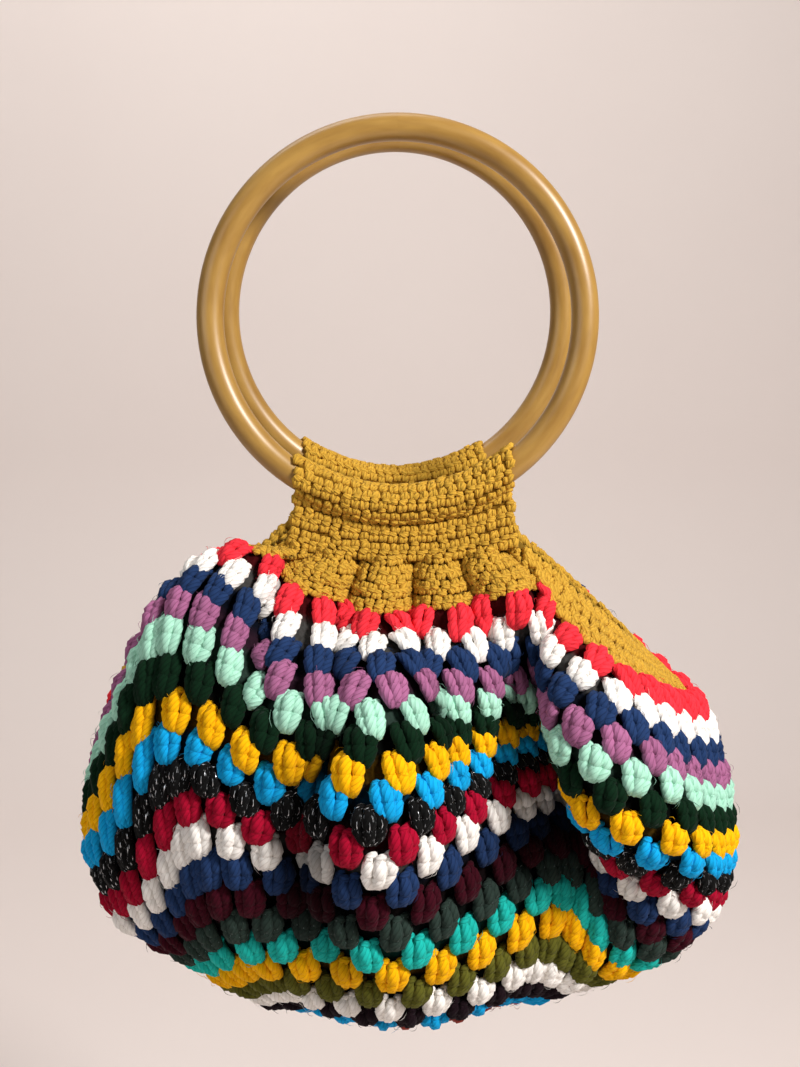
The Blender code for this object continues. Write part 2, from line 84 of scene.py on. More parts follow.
# Free side edges: how far out and down the middle of each one hangs from the yokes' ends
RIM_OUT_RIGHT = 70 * MM
RIM_OUT_LEFT = 77 * MM
RIM_DROP = 66 * MM
# How far each quarter of the rims bulges away from the middle
RIM_BULGE_FRONT_RIGHT = 8 * MM
RIM_BULGE_BACK_RIGHT = 14 * MM
RIM_BULGE_BACK_LEFT = 16 * MM
RIM_BULGE_FRONT_LEFT = 2 * MM
# How each quarter curves outwards and downwards: 2 is a parabola, 1 is straight
RIM_CURVE_FRONT_RIGHT = (1.0, 0.95)
RIM_CURVE_BACK_RIGHT = (1.4, 1.3)
RIM_CURVE_LEFT = (1.6, 1.9)

# The cloth's edge hangs this far below the seam
ROUND_GAP = 0.5 * MM

# Derived sizes
RING_RADIUS = (RING_OUTER_DIAMETER - RING_TUBE_DIAMETER) / 2
RING_CENTRE_Z = RING_TUBE_DIAMETER / 2 - RING_RADIUS
SEAM_Z = RING_CENTRE_Z - RING_OUTER_DIAMETER / 2 - YOKE_DROP
REACH = ROUND_COUNT * ROW_HEIGHT + BORDER_WIDTH
EDGE_ROW = REACH / ROW_HEIGHT

# The sack hangs from the seams. Its half width, half depth and drop are shares of the reach of the
# cloth from centre to edge.
SACK_SHARES = (0.525, 0.364, 0.788)

# Shape of the sack: for each line of the cloth from the centre outwards, its place round the loop
# (0 front left corner, 1 front right, 2 back right, 3 back left), then the points where it crosses
# the rows of SHAPE_ROWS: share of half width, share of half depth, share of the drop.
SHAPE_ROWS = (7, 11, 15, 18, 21, 25)
SHAPE_LINES = {
    0.00: ((-0.32, -0.48, 0.89), (-0.49, -0.71, 0.72), (-0.59, -0.79, 0.47),
           (-0.67, -0.71, 0.30), (-0.65, -0.60, 0.10), (-0.47, -0.40, -0.01)),
    0.25: ((-0.17, -0.63, 0.88), (-0.25, -0.85, 0.68), (-0.31, -0.92, 0.49),
           (-0.33, -0.90, 0.35), (-0.28, -0.77, 0.22), (-0.21, -0.45, 0.08)),
    0.50: ((0.00, -0.69, 0.88), (0.00, -0.93, 0.68), (0.00, -1.02, 0.47),
           (0.00, -0.97, 0.35), (0.00, -0.83, 0.22), (0.00, -0.46, 0.10)),
    0.75: ((0.24, -0.58, 0.87), (0.29, -0.71, 0.65), (0.39, -0.48, 0.46),
           (0.39, -0.42, 0.36), (0.35, -0.50, 0.25), (0.24, -0.45, 0.08)),
    0.88: ((0.35, -0.50, 0.86), (0.44, -0.56, 0.63), (0.49, -0.29, 0.49),
           (0.47, -0.26, 0.39), (0.41, -0.37, 0.25), (0.34, -0.44, 0.06)),
    1.00: ((0.42, -0.44, 0.86), (0.55, -0.48, 0.66), (0.59, -0.30, 0.52),
           (0.56, -0.29, 0.42), (0.47, -0.38, 0.27), (0.42, -0.45, 0.06)),
    1.12: ((0.51, -0.40, 0.89), (0.65, -0.52, 0.75), (0.63, -0.60, 0.58),
           (0.52, -0.83, 0.44), (0.45, -0.83, 0.28), (0.47, -0.52, 0.11)),
    1.30: ((0.56, -0.21, 0.93), (0.79, -0.42, 0.82), (0.88, -0.58, 0.67),
           (0.81, -0.83, 0.52), (0.72, -0.86, 0.36), (0.63, -0.62, 0.20)),
    1.50: ((0.56, 0.00, 0.95), (0.83, -0.03, 0.87), (0.99, -0.08, 0.76),
           (1.03, -0.13, 0.64), (1.00, -0.16, 0.50), (0.90, -0.14, 0.32)),
    1.75: ((0.46, 0.27, 0.94), (0.70, 0.38, 0.84), (0.84, 0.46, 0.67),
           (0.86, 0.50, 0.51), (0.82, 0.49, 0.36), (0.68, 0.43, 0.22)),
    2.00: ((0.33, 0.46, 0.93), (0.53, 0.67, 0.77), (0.65, 0.71, 0.54),
           (0.68, 0.65, 0.36), (0.62, 0.57, 0.21), (0.45, 0.44, 0.09)),
    2.50: ((0.00, 0.63, 0.93), (0.00, 0.83, 0.75), (0.00, 0.88, 0.54),
           (0.00, 0.85, 0.41), (0.00, 0.74, 0.27), (0.00, 0.54, 0.11)),
    3.00: ((-0.33, 0.44, 0.93), (-0.52, 0.63, 0.77), (-0.64, 0.67, 0.54),
           (-0.68, 0.62, 0.36), (-0.62, 0.53, 0.21), (-0.46, 0.40, 0.09)),
    3.25: ((-0.42, 0.25, 0.94), (-0.64, 0.36, 0.83), (-0.80, 0.42, 0.67),
           (-0.84, 0.44, 0.51), (-0.81, 0.44, 0.35), (-0.68, 0.37, 0.21)),
    3.50: ((-0.47, 0.00, 0.94), (-0.71, 0.00, 0.87), (-0.90, 0.00, 0.78),
           (-0.96, 0.00, 0.63), (-0.93, 0.00, 0.50), (-0.87, 0.00, 0.33)),
    3.80: ((-0.41, -0.31, 0.94), (-0.61, -0.44, 0.82), (-0.77, -0.54, 0.67),
           (-0.85, -0.52, 0.50), (-0.83, -0.45, 0.32), (-0.65, -0.33, 0.15)),
}
SACK_BOTTOM = (0.00, -0.04, 0.98)

# Pleats and hollows of the gathered sides: side (0 front, 2 back), then in mm, measured on the cloth,
# the place across the side at the seam, the place low down, the half width, the push outwards and
# the spread sideways, then the lowest and the highest row reached.
FOLDS = {
    "front ridge a": (0, -224, -150, 30, 9, 5, 20, EDGE_ROW),
    "front slot ab": (0, -196, -112, 10, -14, -4, 18, EDGE_ROW),
    "front ridge b": (0, -146, -80, 28, 10, 7, 16, EDGE_ROW),
    "front slot bc": (0, -94, -46, 10, -38, -6, 12, EDGE_ROW),
    "front ridge c": (0, -36, -14, 28, 11, 7, 11, EDGE_ROW),
    "front slot cd": (0, 22, 20, 9, -36, -6, 17, EDGE_ROW),
    "front ridge d": (0, 72, 44, 24, 9, 6, 18, EDGE_ROW),
    "front slot de": (0, 122, 72, 10, -38, -6, 17, EDGE_ROW),
    "front ridge e": (0, 168, 118, 30, 11, 7, 19, EDGE_ROW),
    "front slot ef": (0, 205, 168, 18, -12, -3, 20, EDGE_ROW),
    "front hollow": (0, -46, -48, 20, -26, -3, 9, 17),
    "back ridge a": (2, -160, -130, 34, 8, 6, 17, EDGE_ROW),
    "back slot ab": (2, -110, -90, 17, -26, -5, 18, EDGE_ROW),
    "back ridge b": (2, -60, -48, 30, 8, 6, 16, EDGE_ROW),
    "back slot bc": (2, -5, -5, 17, -28, -5, 16, EDGE_ROW),
    "back ridge c": (2, 50, 40, 30, 8, 6, 14, EDGE_ROW),
    "back slot cd": (2, 105, 85, 17, -26, -5, 18, EDGE_ROW),
    "back ridge d": (2, 155, 130, 34, 8, 6, 17, EDGE_ROW),
}
LOW_FOLD_ROW = 20
# The exponent of a fold's profile: 2 is a bell, and more makes a slot with steeper walls
SLOT_SHARPNESS = 2.4
RIDGE_SHARPNESS = 2.0
FOLD_FADE_ROWS = 6
FOLD_SPREAD_GAIN = 1.6
FOLD_CORNER_MARGIN = 30 * MM
# Share of a side, at its ends, over which a free rim comes to hang straight down like the seams
SEAM_HOLD_SHARE = 0.3
# The folds flatten by this share on the way from this row to the seam
GATHER_AT_SEAM = 0.38
GATHER_ROW = 26.1

# Yarn strands: sides of the section, the stations along a strand and its taper towards its ends
STRAND_SIDES = 6
STRAND_STATIONS = np.array([0.0, 0.07, 0.33, 0.67, 0.93, 1.0])
STRAND_TAPER = np.array([0.0, 0.62, 1.0, 1.0, 0.62, 0.0])
# Loose fibres of the brushed yarn: how many a cluster has, their length, rise and radius. Real ones
# are a tenth as thick, too fine to show.
FIBRES_PER_CLUSTER = 4
FIBRE_LENGTH = (4 * MM, 9 * MM)
FIBRE_RISE = (0.6 * MM, 1.9 * MM)
FIBRE_RADIUS = 0.12 * MM
FIBRE_SIDES = 3
FIBRE_STATIONS = np.array([0.0, 0.25, 0.5, 0.75, 1.0])
# Most that a fibre leans to a side of its strand and turns away from it, in radians
FIBRE_LEAN = 1.2
FIBRE_TURN = 1.3
# A fibre's taper follows a sine between these shares of its length
FIBRE_TAPER = (0.2, 0.8)
# The strands of a cluster's post: from and to along the cluster, slant, how far its middle stands
# proud, and its radius
STRAND_KINDS = {
    "lower": (0.00, 0.68, 0.5 * MM, 0.2 * MM, 2.7 * MM),
    "upper": (0.40, 0.98, -1.2 * MM, 0.7 * MM, 2.65 * MM),
    "loop": (0.90, 0.98, 0.0, 0.4 * MM, 1.8 * MM),
}
# How far apart the posts of a cluster are: at their foot, and as shares of its pitch where it is
# widest and at its top
POST_AT_FOOT = 1.7 * MM
POST_WIDEST = 0.236
POST_AT_TOP = 0.18
WIDEST_AT = 0.55
LOOP_REACH = 0.12
# How far a cluster bulges, the part of a sine its profile follows and the power that fills it out,
# and how far its outer posts lie back
CLUSTER_BULGE = 5.0 * MM
BULGE_FROM = 0.04
BULGE_SPAN = 0.92
BULGE_FULLNESS = 0.7
CLUSTER_ROUNDING = 2.0 * MM
# Height of a cluster, the fewest and most rows it covers, and the share of it below its middle row
CLUSTER_HEIGHT = 17.5 * MM
CLUSTER_ROWS = (1.35, 1.75)
SHARE_BELOW = 0.56
# Rows from a round's upper edge down to the middle of its clusters
MIDDLE_OF_CLUSTER = 0.55
# The yarn has its full thickness at this pitch. It is thinner in proportion where the pitch is
# smaller, and at most WIDEST_YARN times as thick where it is larger.
FULL_PITCH = 15.6 * MM
WIDEST_YARN = 1.1
# The first rounds, the flat centre of the square, grow by one cluster each
GROWING_ROUNDS = 3
# The pitch aimed at in the low and the high rounds: front, right, back and left side
AIM_ROUNDS = (18, 24)
CLUSTER_AIM = ((18.4 * MM, 14.8 * MM), (18.4 * MM, 17.6 * MM),
               (18.4 * MM, 14.8 * MM), (21.5 * MM, 16.5 * MM))
# How far into the slots the clusters go, as a share of their depth: crowded, they close the slots
CLUSTERS_IN_SLOTS = 0.3
# Least and most that the end clusters stand from a corner, in pitches
CORNER_MARGIN = (0.26, 0.5)
# How far the feet lie from under the tops, as a share of the way to the space they are worked in,
# and how fast a cluster leaves its foot's place for its top's
FOOT_DRIFT = 0.3
FOOT_TO_TOP = 1.25
# How much of the way a cluster moves from halfway between those below to even spacing
EVEN_SHARE = 0.45
# Clusters hang towards the upright instead of fanning out with the cloth: the share of the way that
# they take, and the most, in pitches
HANG = 0.9
MOST_HANG = 0.9
# How far a cluster keeps its own shape instead of bending with the cloth under it, 0 to 1
CLUSTER_FIRMNESS = 0.7
# How far a cluster and its posts lean and stand proud by chance, how much its width and place vary,
# and the share of its tone that the whole cluster has in common
CLUSTER_LEAN = 0.8 * MM
POST_LEAN = 0.3 * MM
CLUSTER_PROUD = 0.5 * MM
CLUSTER_WIDTHS = (0.94, 1.06)
CLUSTER_LIFTS = (-0.03, 0.03)
CLUSTER_TONES = 0.6
# Yarn deep in a slot of the pleats gets painted shade in its colour, fully from this depth
SHADED_DEPTH = 11 * MM
# How far the painted shade lowers the yarn's tone at full depth
DEEP_SHADE = 3.0
# Hollows where shade is painted into the yarn's colour: place and row of the middle, half sizes in
# places and rows, strength
HOLLOWS = {
    "under right flap": (0.88, 13.0, 0.24, 1.7, 1.28),
    "left valley": (0.315, 14.6, 0.065, 4.2, 1.22),
}
# Fewest metres that a unit of place is taken for near the centre
SLOWEST_PLACE = 20 * MM
ROW_SAMPLES = 161

# Steps over which the cloth's directions are read, and the innermost row that has any
FRAME_PLACE_STEP = 0.012
FRAME_ROW_STEP = 0.35
INNERMOST_ROW = 0.15

# Close stitches of the border and yokes: width and height of one, and its strands, each from (u, v)
# to (u, v) in shares of them, how far it stands proud, and its radius
CLOSE_PITCH = 4.4 * MM
CLOSE_ROW = 4.1 * MM
CLOSE_STATIONS = np.array([0.0, 0.16, 0.84, 1.0])
CLOSE_TAPER = np.array([0.0, 1.0, 1.0, 0.0])
CLOSE_STRANDS = (
    (-0.05, 0.02, -0.31, 0.88, 0.4 * MM, 1.45 * MM),
    (0.08, 0.04, 0.34, 0.84, 0.4 * MM, 1.45 * MM),
    (-0.44, 1.00, 0.44, 0.88, 0.8 * MM, 1.35 * MM),
)
# How much a stitch varies by chance, how many times more its rise does, how far its strands bulge,
# and the share of its tone that the whole stitch has in common
CLOSE_JITTER = 0.05
RISE_JITTER = 3
CLOSE_BULGE = 0.6 * MM
CLOSE_TONES = 0.5
# Every second row lies this share of a stitch further on, and shows its other side, where most
# stitches' legs close upwards
ROW_SHIFT = 0.25
TURNED_SHARES = (0.08, 0.85)
# Rows of the border, pitch of their stitches and thickness of their yarn: on the two gathered sides,
# and on the two free rims
BORDER_ROWS = (7, 4)
BORDER_PITCH = (4.4 * MM, 5.6 * MM)
BORDER_YARN = (1.0, 1.22)

# Sewing yarn inside the yokes: its thickness, the share of the seam it runs along, height and step of
# its zigzag, where it starts under the ring, how far it lies from the middle of the yoke, its tone
SEWING_YARN = 1.8 * MM
SEWN_SHARE = 0.9
SEWING_STEP = 4.5 * MM
SEWING_TOP = 12 * MM
SEWING_PROUD = 4.6 * MM
SEWING_TONE = 0.2

# The yoke's cloth lies closer to its ring than the solid's, and closest at its ends
YOKE_SLEEVE = 7.5 * MM
YOKE_SLEEVE_END = 6.7 * MM
BACK_YOKE_RING_WIDTH = 88 * MM
# The yoke's last row laps over the gathered edge
YOKE_LAP = 3 * MM
YOKE_STATIONS = 49
YOKE_ROUND_POINTS = 61
YOKE_LINE_POINTS = 121
# A point of each section that lies on its first, upright face
FIRST_FACE_POINT = 3

# The thin cloth between the stitches: its thickness, how far it lies inside the middle surface, and
# the share of the yarn's colour its outer face keeps as painted shade among the clusters and in the
# close rows
SHEET_THICKNESS = 1.2 * MM
GROUND_DEPTH = 1.2 * MM
GROUND_COLUMNS = 480
GROUND_STEPS = 3
GROUND_SHADE = 0.05
BORDER_SHADE = 0.3
# Colour of the yokes' thin cloth on both faces: dark brown painted as shade between their stitches
YOKE_GROUND = "#6a4a0e"

RING_STEPS = 240
RING_SIDES = 32

SEED = 11

# Camera: the photograph is 800 pixels wide and 1067 high
PHOTO_HEIGHT = 1067
FOCAL_PIXELS = 1380
CAMERA_PLACE = (0.001, -0.6376, -0.0637)
CAMERA_PITCH = math.radians(80)
SENSOR = 36

# Backdrop: how far the floor lies under the bag, how far it and the wall reach, where the wall
# stands, and the bend between them
STAGE_GAP = 450 * MM
STAGE_REACH = 3.0
STAGE_BACK = 1.35
STAGE_BEND = 0.5
STAGE_BEND_STEPS = 25
PLASTER = ("#ebe1dc", "#e8ddd8")
# Lamps: place, the point aimed at, diameter, power and tint
LAMPS = {
    "key": ((0.9, -0.8, 0.6), (0, 0, -0.2), 0.35, 30, (1.0, 0.97, 0.95)),
    "wall": ((-0.45, 0.7, 1.6), (0, 1.9, -0.3), 1.5, 23, (1.0, 0.98, 0.96)),
    "fill": ((-0.9, -0.8, 0.2), (0, 0, -0.2), 0.9, 3.5, (0.95, 0.97, 1.0)),
}
ROOM_LIGHT = ("#f4ece6", 0.18)

# Colours of the yarns: the lit strand, and the darker colour painted as shade in the grooves between
# its plies
YARNS = {
    "plum": ("#6e3a62", "#3a1a32"),
    "straw": ("#d8c070", "#a08a40"),
    "teal_blue": ("#1c6a80", "#0c3a48"),
    "oatmeal": ("#cabda4", "#8e8068"),
    "brick": ("#9a3c30", "#5a1c16"),
    "sky_blue": ("#12a0dc", "#0a6ea4"),
    "dark_plum": ("#1c1016", "#0c0608"),
    "off_white": ("#f4f0ea", "#cfc6bc"),
    "olive": ("#5a5a20", "#2e2e0c"),
    "golden": ("#f4b40a", "#c87c04"),
    "turquoise": ("#20b8ac", "#0c7c74"),
    "grey_green": ("#2c3a34", "#161e1a"),
    "maroon": ("#3c0a18", "#1c040a"),
    "denim": ("#21375f", "#0c1832"),
    "crimson": ("#a00c2c", "#5c0414"),
    "sparkle_black": ("#101010", "#040404"),
    "bottle_green": ("#0a2414", "#041008"),
    "mint": ("#a8dcc4", "#7cb49a"),
    "mauve": ("#a06288", "#64354e"),
    "coral_red": ("#ec3440", "#b0101c"),
    "mustard": ("#c69a38", "#94691a"),
}
# Yarns with a metallic thread twisted in: its colour, and the values of a noise at which it starts
# to show and is fully there
SPARKLES = {
    "sparkle_black": ("#d8dce0", 0.62, 0.68),
    "grey_green": ("#8aa0a0", 0.68, 0.74),
}
RESIN = ("#8e682c", "#aa8440")
# Plies that show round a strand, and the length in mm along it from one to the next
PLIES = 7
PLY_LENGTH = 2.8
# Spun fibres, loops of the cloth and ripples of the resin to a millimetre. Real fibres lie some
# fifty to the millimetre, too fine to show.
FIBRES_TO_MM = 2.2
LOOPS_TO_MM = 0.4
RIPPLES_TO_MM = 0.26


def smooth_step(x):
    """3 x squared less 2 x cubed, held at 0 below 0 and at 1 above 1."""
    x = np.clip(x, 0.0, 1.0)
    return x * x * (3 - 2 * x)


def handle_point(front, x, y, z):
    """Places a point given in a handle's own frame: x along the seam, y away from the sack.

    The front one is turned about the level line through its middle, the back one about its upright.
    """
    x, y, z = np.broadcast_arrays(x, y, z)
    if front:
        rise = z - RING_CENTRE_Z
        back = rise * math.sin(FRONT_LEAN) - y * math.cos(FRONT_LEAN)
        up = rise * math.cos(FRONT_LEAN) + y * math.sin(FRONT_LEAN)
        return np.stack([x, back - RING_SPACING / 2, RING_CENTRE_Z + up], -1)
    turned_x = x * math.cos(BACK_TURN) - y * math.sin(BACK_TURN)
    turned_y = x * math.sin(BACK_TURN) + y * math.cos(BACK_TURN)
    return np.stack([turned_x, RING_SPACING / 2 + turned_y, z], -1)


def yoke_x(front, a, width):
    """Place along the handle, from -1 to 1 across a yoke that sits a little off the middle."""
    return (YOKE_SHIFT if front else -YOKE_SHIFT) + a * width / 2


def seam_height(a):
    """Height of the seam between yoke and gathered edge: a shallow arc that rises to the ends."""
    return SEAM_Z + YOKE_END_RISE * a * a


def hanging_edge(front, a):
    """The cloth's edge where it hangs from a yoke's seam."""
    return handle_point(front, yoke_x(front, a, YOKE_WIDTH), 0.0, seam_height(a) - ROUND_GAP)


def rim_edge(a, sign):
    """A free side edge, from one yoke's end to the other's; sign is 1 on the right, -1 on the left.

    It is the straight line between them, moved out and down by 1 - |a| to a power, for a from -1 to 1.
    """
    m = np.abs(a)[:, None]
    first_half = (a < 0)[:, None]
    share = (1 + a)[:, None] / 2
    if sign > 0:
        out, bulges = RIM_OUT_RIGHT, (RIM_BULGE_FRONT_RIGHT, RIM_BULGE_BACK_RIGHT)
        curves = (RIM_CURVE_FRONT_RIGHT, RIM_CURVE_BACK_RIGHT)
    else:
        out, bulges = RIM_OUT_LEFT, (RIM_BULGE_BACK_LEFT, RIM_BULGE_FRONT_LEFT)
        curves = (RIM_CURVE_LEFT, RIM_CURVE_LEFT)
    start, end = hanging_edge(sign > 0, sign), hanging_edge(sign < 0, sign)
    line = start + (end - start) * share
    curve_out = np.where(first_half, curves[0][0], curves[1][0])
    curve_down = np.where(first_half, curves[0][1], curves[1][1])
    bulge = np.where(first_half, -bulges[0], bulges[1]) * np.sin(math.pi * m)
    x = line[:, :1] + sign * out * (1 - m ** curve_out)
    z = line[:, 2:] - RIM_DROP * (1 - m ** curve_down)
    return np.concatenate([x, line[:, 1:2] + sign * bulge, z], 1)


def cloth_edge(place):
    """Outer edge of the cloth: the two seams, and the free rims that droop between their ends."""
    place = place % 4
    side = np.floor(place).astype(int)
    a = 2 * (place - side) - 1
    sides = np.stack([hanging_edge(True, a), rim_edge(a, 1.0),
                      hanging_edge(False, -a), rim_edge(a, -1.0)])
    return sides[side, np.arange(len(place))]


def slopes_through(knots, values):
    """Slope at each knot of the curve through the values, from the steps on either side."""
    gaps = np.diff(knots)
    steps = np.diff(values, axis=0) / gaps[:, None]
    slopes = np.zeros_like(values)
    before, after = gaps[:-1, None], gaps[1:, None]
    slopes[1:-1] = (steps[:-1] * after + steps[1:] * before) / (before + after)
    slopes[0] = steps[0]
    slopes[-1] = steps[-1]
    return slopes


def cubic(t, gap, start, end, start_slope, end_slope):
    """Cubic from start to end: a smooth step between them, and each slope times its own bump."""
    rise = t * t * (3 - 2 * t)
    return (start * (1 - rise) + end * rise
            + gap * (start_slope * t * (1 - t) ** 2 - end_slope * t * t * (1 - t)))


def curve_through(x, knots, values, slopes):
    """Curve of cubics that passes through each value with the given slope."""
    i = np.clip(np.searchsorted(knots, x, side="right") - 1, 0, len(knots) - 2)
    gap = (knots[i + 1] - knots[i])[:, None]
    t = (x - knots[i])[:, None] / gap
    return cubic(t, gap, values[i], values[i + 1], slopes[i], slopes[i + 1])


def sack_size(shares):
    """Turns shares of half width, half depth and drop into a place under the seams."""
    shares = np.asarray(shares, float)
    size = REACH * np.array(SACK_SHARES) * (1, 1, -1)
    return shares * size + np.array([0.0, 0.0, SEAM_Z])


def loop_at(place, level):
    """The closed loop of one shaping row, smooth through its points."""
    keys = np.array(sorted(SHAPE_LINES))
    points = sack_size([SHAPE_LINES[key][level] for key in keys])
    knots = np.concatenate([keys[-2:] - 4, keys, keys[:3] + 4])
    values = np.concatenate([points[-2:], points, points[:3]])
    return curve_through(place % 4, knots, values, slopes_through(knots, values))


def fold_push(place, row, slots=1.0):
    """How far the pleats push each point of the cloth out or in, and sideways.

    With u the distance from a pleat's middle in half widths, the push outwards is exp(-|u| to the
    power of its sharpness), and the push sideways is that times u. Both fade towards its lowest row
    and the corners. slots is the share of the depth of the slots that is taken.
    """
    place = place % 4
    side = np.floor(place).astype(int)
    across_share = 2 * (place - side) - 1
    half = row * CLUSTER_PITCH / 2
    across = across_share * half
    inside = 1 - smooth_step((np.abs(across) - (half - FOLD_CORNER_MARGIN)) / FOLD_CORNER_MARGIN)
    near_seam = smooth_step((row - GATHER_ROW) / (EDGE_ROW - GATHER_ROW))
    push = np.zeros((len(place), 3))
    down = 1 - smooth_step((row - LOW_FOLD_ROW) / (EDGE_ROW - LOW_FOLD_ROW))
    for on_side, centre, low_centre, width, out, spread, low, high in FOLDS.values():
        u = (across - (centre + (low_centre - centre) * down) * MM) / (width * MM)
        fade = smooth_step((row - low) / FOLD_FADE_ROWS)
        if high < EDGE_ROW:
            fade = fade * (1 - smooth_step((row - high) / FOLD_FADE_ROWS))
        sharpness = SLOT_SHARPNESS if out < 0 else RIDGE_SHARPNESS
        weight = np.exp(-np.abs(u) ** sharpness) * fade * inside * (side == on_side)
        face = -1.0 if on_side == 0 else 1.0
        push[:, 0] -= weight * u * spread * MM * face * FOLD_SPREAD_GAIN * (1 - near_seam)
        depth = out * (slots if out < 0 else 1.0)
        push[:, 1] += weight * depth * MM * face * (1 - GATHER_AT_SEAM * near_seam)
    return push


def seam_hold(place):
    """1 where the edge is sewn to a yoke and hangs straight down from it, 0 along the free rims."""
    place = place % 4
    side = np.floor(place)
    from_corner = 1 - np.abs(2 * (place - side) - 1)
    return np.where(side % 2 == 0, 1.0, 1 - smooth_step(from_corner / SEAM_HOLD_SHARE))


def sack_point(place, row):
    """The sack without its pleats: place round the loop, 0 to 4, and row counted from the centre.

    Up the cloth, each line is a curve of cubics through the loops of the shaping rows and the edge.
    """
    place = np.asarray(place, float)
    row = np.broadcast_to(np.asarray(row, float), place.shape)
    bottom = np.repeat(sack_size([SACK_BOTTOM]), len(place), axis=0)
    levels = [bottom] + [loop_at(place, i) for i in range(len(SHAPE_ROWS))] + [cloth_edge(place)]
    knots = np.array([0.0, *SHAPE_ROWS, EDGE_ROW])
    values = np.stack(levels)
    flat = values.reshape(len(knots), -1)
    slopes = slopes_through(knots, flat).reshape(values.shape)
    slopes[0, :, 2] = 0.0
    hang = seam_hold(place)[:, None]
    slopes[-1] = slopes[-1] * (1 - hang) + np.array([0.0, 0.0, ROW_HEIGHT]) * hang
    point = np.empty((len(place), 3))
    for i in range(len(knots) - 1):
        here = (row >= knots[i]) & ((row < knots[i + 1]) | (i == len(knots) - 2))
        if here.any():
            gap = knots[i + 1] - knots[i]
            t = ((row[here] - knots[i]) / gap)[:, None]
            point[here] = cubic(t, gap, values[i][here], values[i + 1][here],
                                slopes[i][here], slopes[i + 1][here])
    return point


def cloth_point(place, row, slots=1.0):
    """Middle surface of the cloth, with its pleats."""
    place = np.asarray(place, float)
    row = np.broadcast_to(np.asarray(row, float), place.shape)
    return sack_point(place, row) + fold_push(place, row, slots)


def unit(vectors):
    """Each vector over its own length."""
    return vectors / np.maximum(np.linalg.norm(vectors, axis=-1, keepdims=True), 1e-12)


def cloth_frame(place, row, slots=1.0):
    """Point of the cloth's middle surface, its outward direction, and metres per unit of place.

    The outward direction is the cross product of the steps to either side and up the cloth.
    """
    shape = np.shape(place)
    place = np.ravel(place)
    row = np.clip(np.ravel(row), INNERMOST_ROW, EDGE_ROW)
    point = cloth_point(place, row, slots)
    along = (cloth_point(place + FRAME_PLACE_STEP, row, slots)
             - cloth_point(place - FRAME_PLACE_STEP, row, slots))
    up = (cloth_point(place, np.minimum(row + FRAME_ROW_STEP, EDGE_ROW), slots)
          - cloth_point(place, np.maximum(row - FRAME_ROW_STEP, INNERMOST_ROW), slots))
    speed = np.linalg.norm(along, axis=1) / (2 * FRAME_PLACE_STEP)
    outward = unit(np.cross(along, up))
    return (point.reshape(*shape, 3), outward.reshape(*shape, 3), speed.reshape(shape))


def srgb(code):
    """Turns an sRGB hex colour to linear."""
    value = np.array([int(code[i:i + 2], 16) for i in (1, 3, 5)]) / 255
    linear = np.where(value <= 0.04045, value / 12.92, ((value + 0.055) / 1.055) ** 2.4)
    return (*(float(v) for v in linear), 1.0)


def node(material, kind, settings=None, **links):
    """Adds a shader node, or takes the one given, sets its properties and sockets, and links it.

    Links are named for their sockets, with _ for a space, or i and the socket's number. A node
    stands for its first output.
    """
    tree = material.node_tree
    made = tree.nodes.new(kind) if isinstance(kind, str) else kind
    for key, value in (settings or {}).items():
        if isinstance(key, str) and hasattr(made, key):
            setattr(made, key, value)
        else:
            made.inputs[key].default_value = value
    for key, source in links.items():
        socket = int(key[1:]) if key[1:].isdigit() else key.replace("_", " ")
        output = source.outputs[0] if isinstance(source, bpy.types.Node) else source
        tree.links.new(output, made.inputs[socket])
    return made


def new_material(name):
    """A material with nodes, and its shader."""
    material = bpy.data.materials.new(name)
    material.use_nodes = True
    return material, material.node_tree.nodes["Principled BSDF"]


def add_object(name, data, place=(0, 0, 0), turn=(0, 0, 0)):
    """Puts a mesh, lamp or camera into the scene."""
    made = bpy.data.objects.new(name, data)
    made.location = place
    made.rotation_euler = turn
    bpy.context.scene.collection.objects.link(made)
    return made


def reached_along(points):
    """Length along each line from its first point to each of its points."""
    steps = np.cumsum(np.linalg.norm(np.diff(points, axis=-2), axis=-1), axis=-1)
    return np.concatenate([np.zeros_like(steps[..., :1]), steps], axis=-1)


def mesh_piece(name, body, points, faces, material, along=None, shade=None):
    """A new piece from arrays.

    points is N x 3. faces is a list of arrays of corner indices, each M x 3 or M x 4, and along the
    list of matching UV arrays, M x corners x 2. shade is one number for each point.
    """
    data = bpy.data.meshes.new(name)
    counts = np.concatenate([np.full(len(f), f.shape[1]) for f in faces])
    corners = np.concatenate([f.ravel() for f in faces])
    data.vertices.add(len(points))
    data.vertices.foreach_set("co", points.astype(np.float32).ravel())
    data.loops.add(len(corners))
    data.loops.foreach_set("vertex_index", corners.astype(np.int32))
    data.polygons.add(len(counts))
    starts = np.concatenate([[0], np.cumsum(counts)[:-1]])
    data.polygons.foreach_set("loop_start", starts.astype(np.int32))
    data.polygons.foreach_set("use_smooth", np.ones(len(counts), bool))
    if along is not None:
        layer = data.uv_layers.new(name="yarn")
        flat = np.concatenate([uv.reshape(-1, 2) for uv in along])
        layer.data.foreach_set("uv", flat.astype(np.float32).ravel())
    if shade is not None:
        attribute = data.attributes.new("shade", "FLOAT", "POINT")
        attribute.data.foreach_set("value", shade.astype(np.float32))
    data.update()
    data.validate()
    data.materials.append(material)
    piece = add_object(name, data)
    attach(piece, body)
    return piece


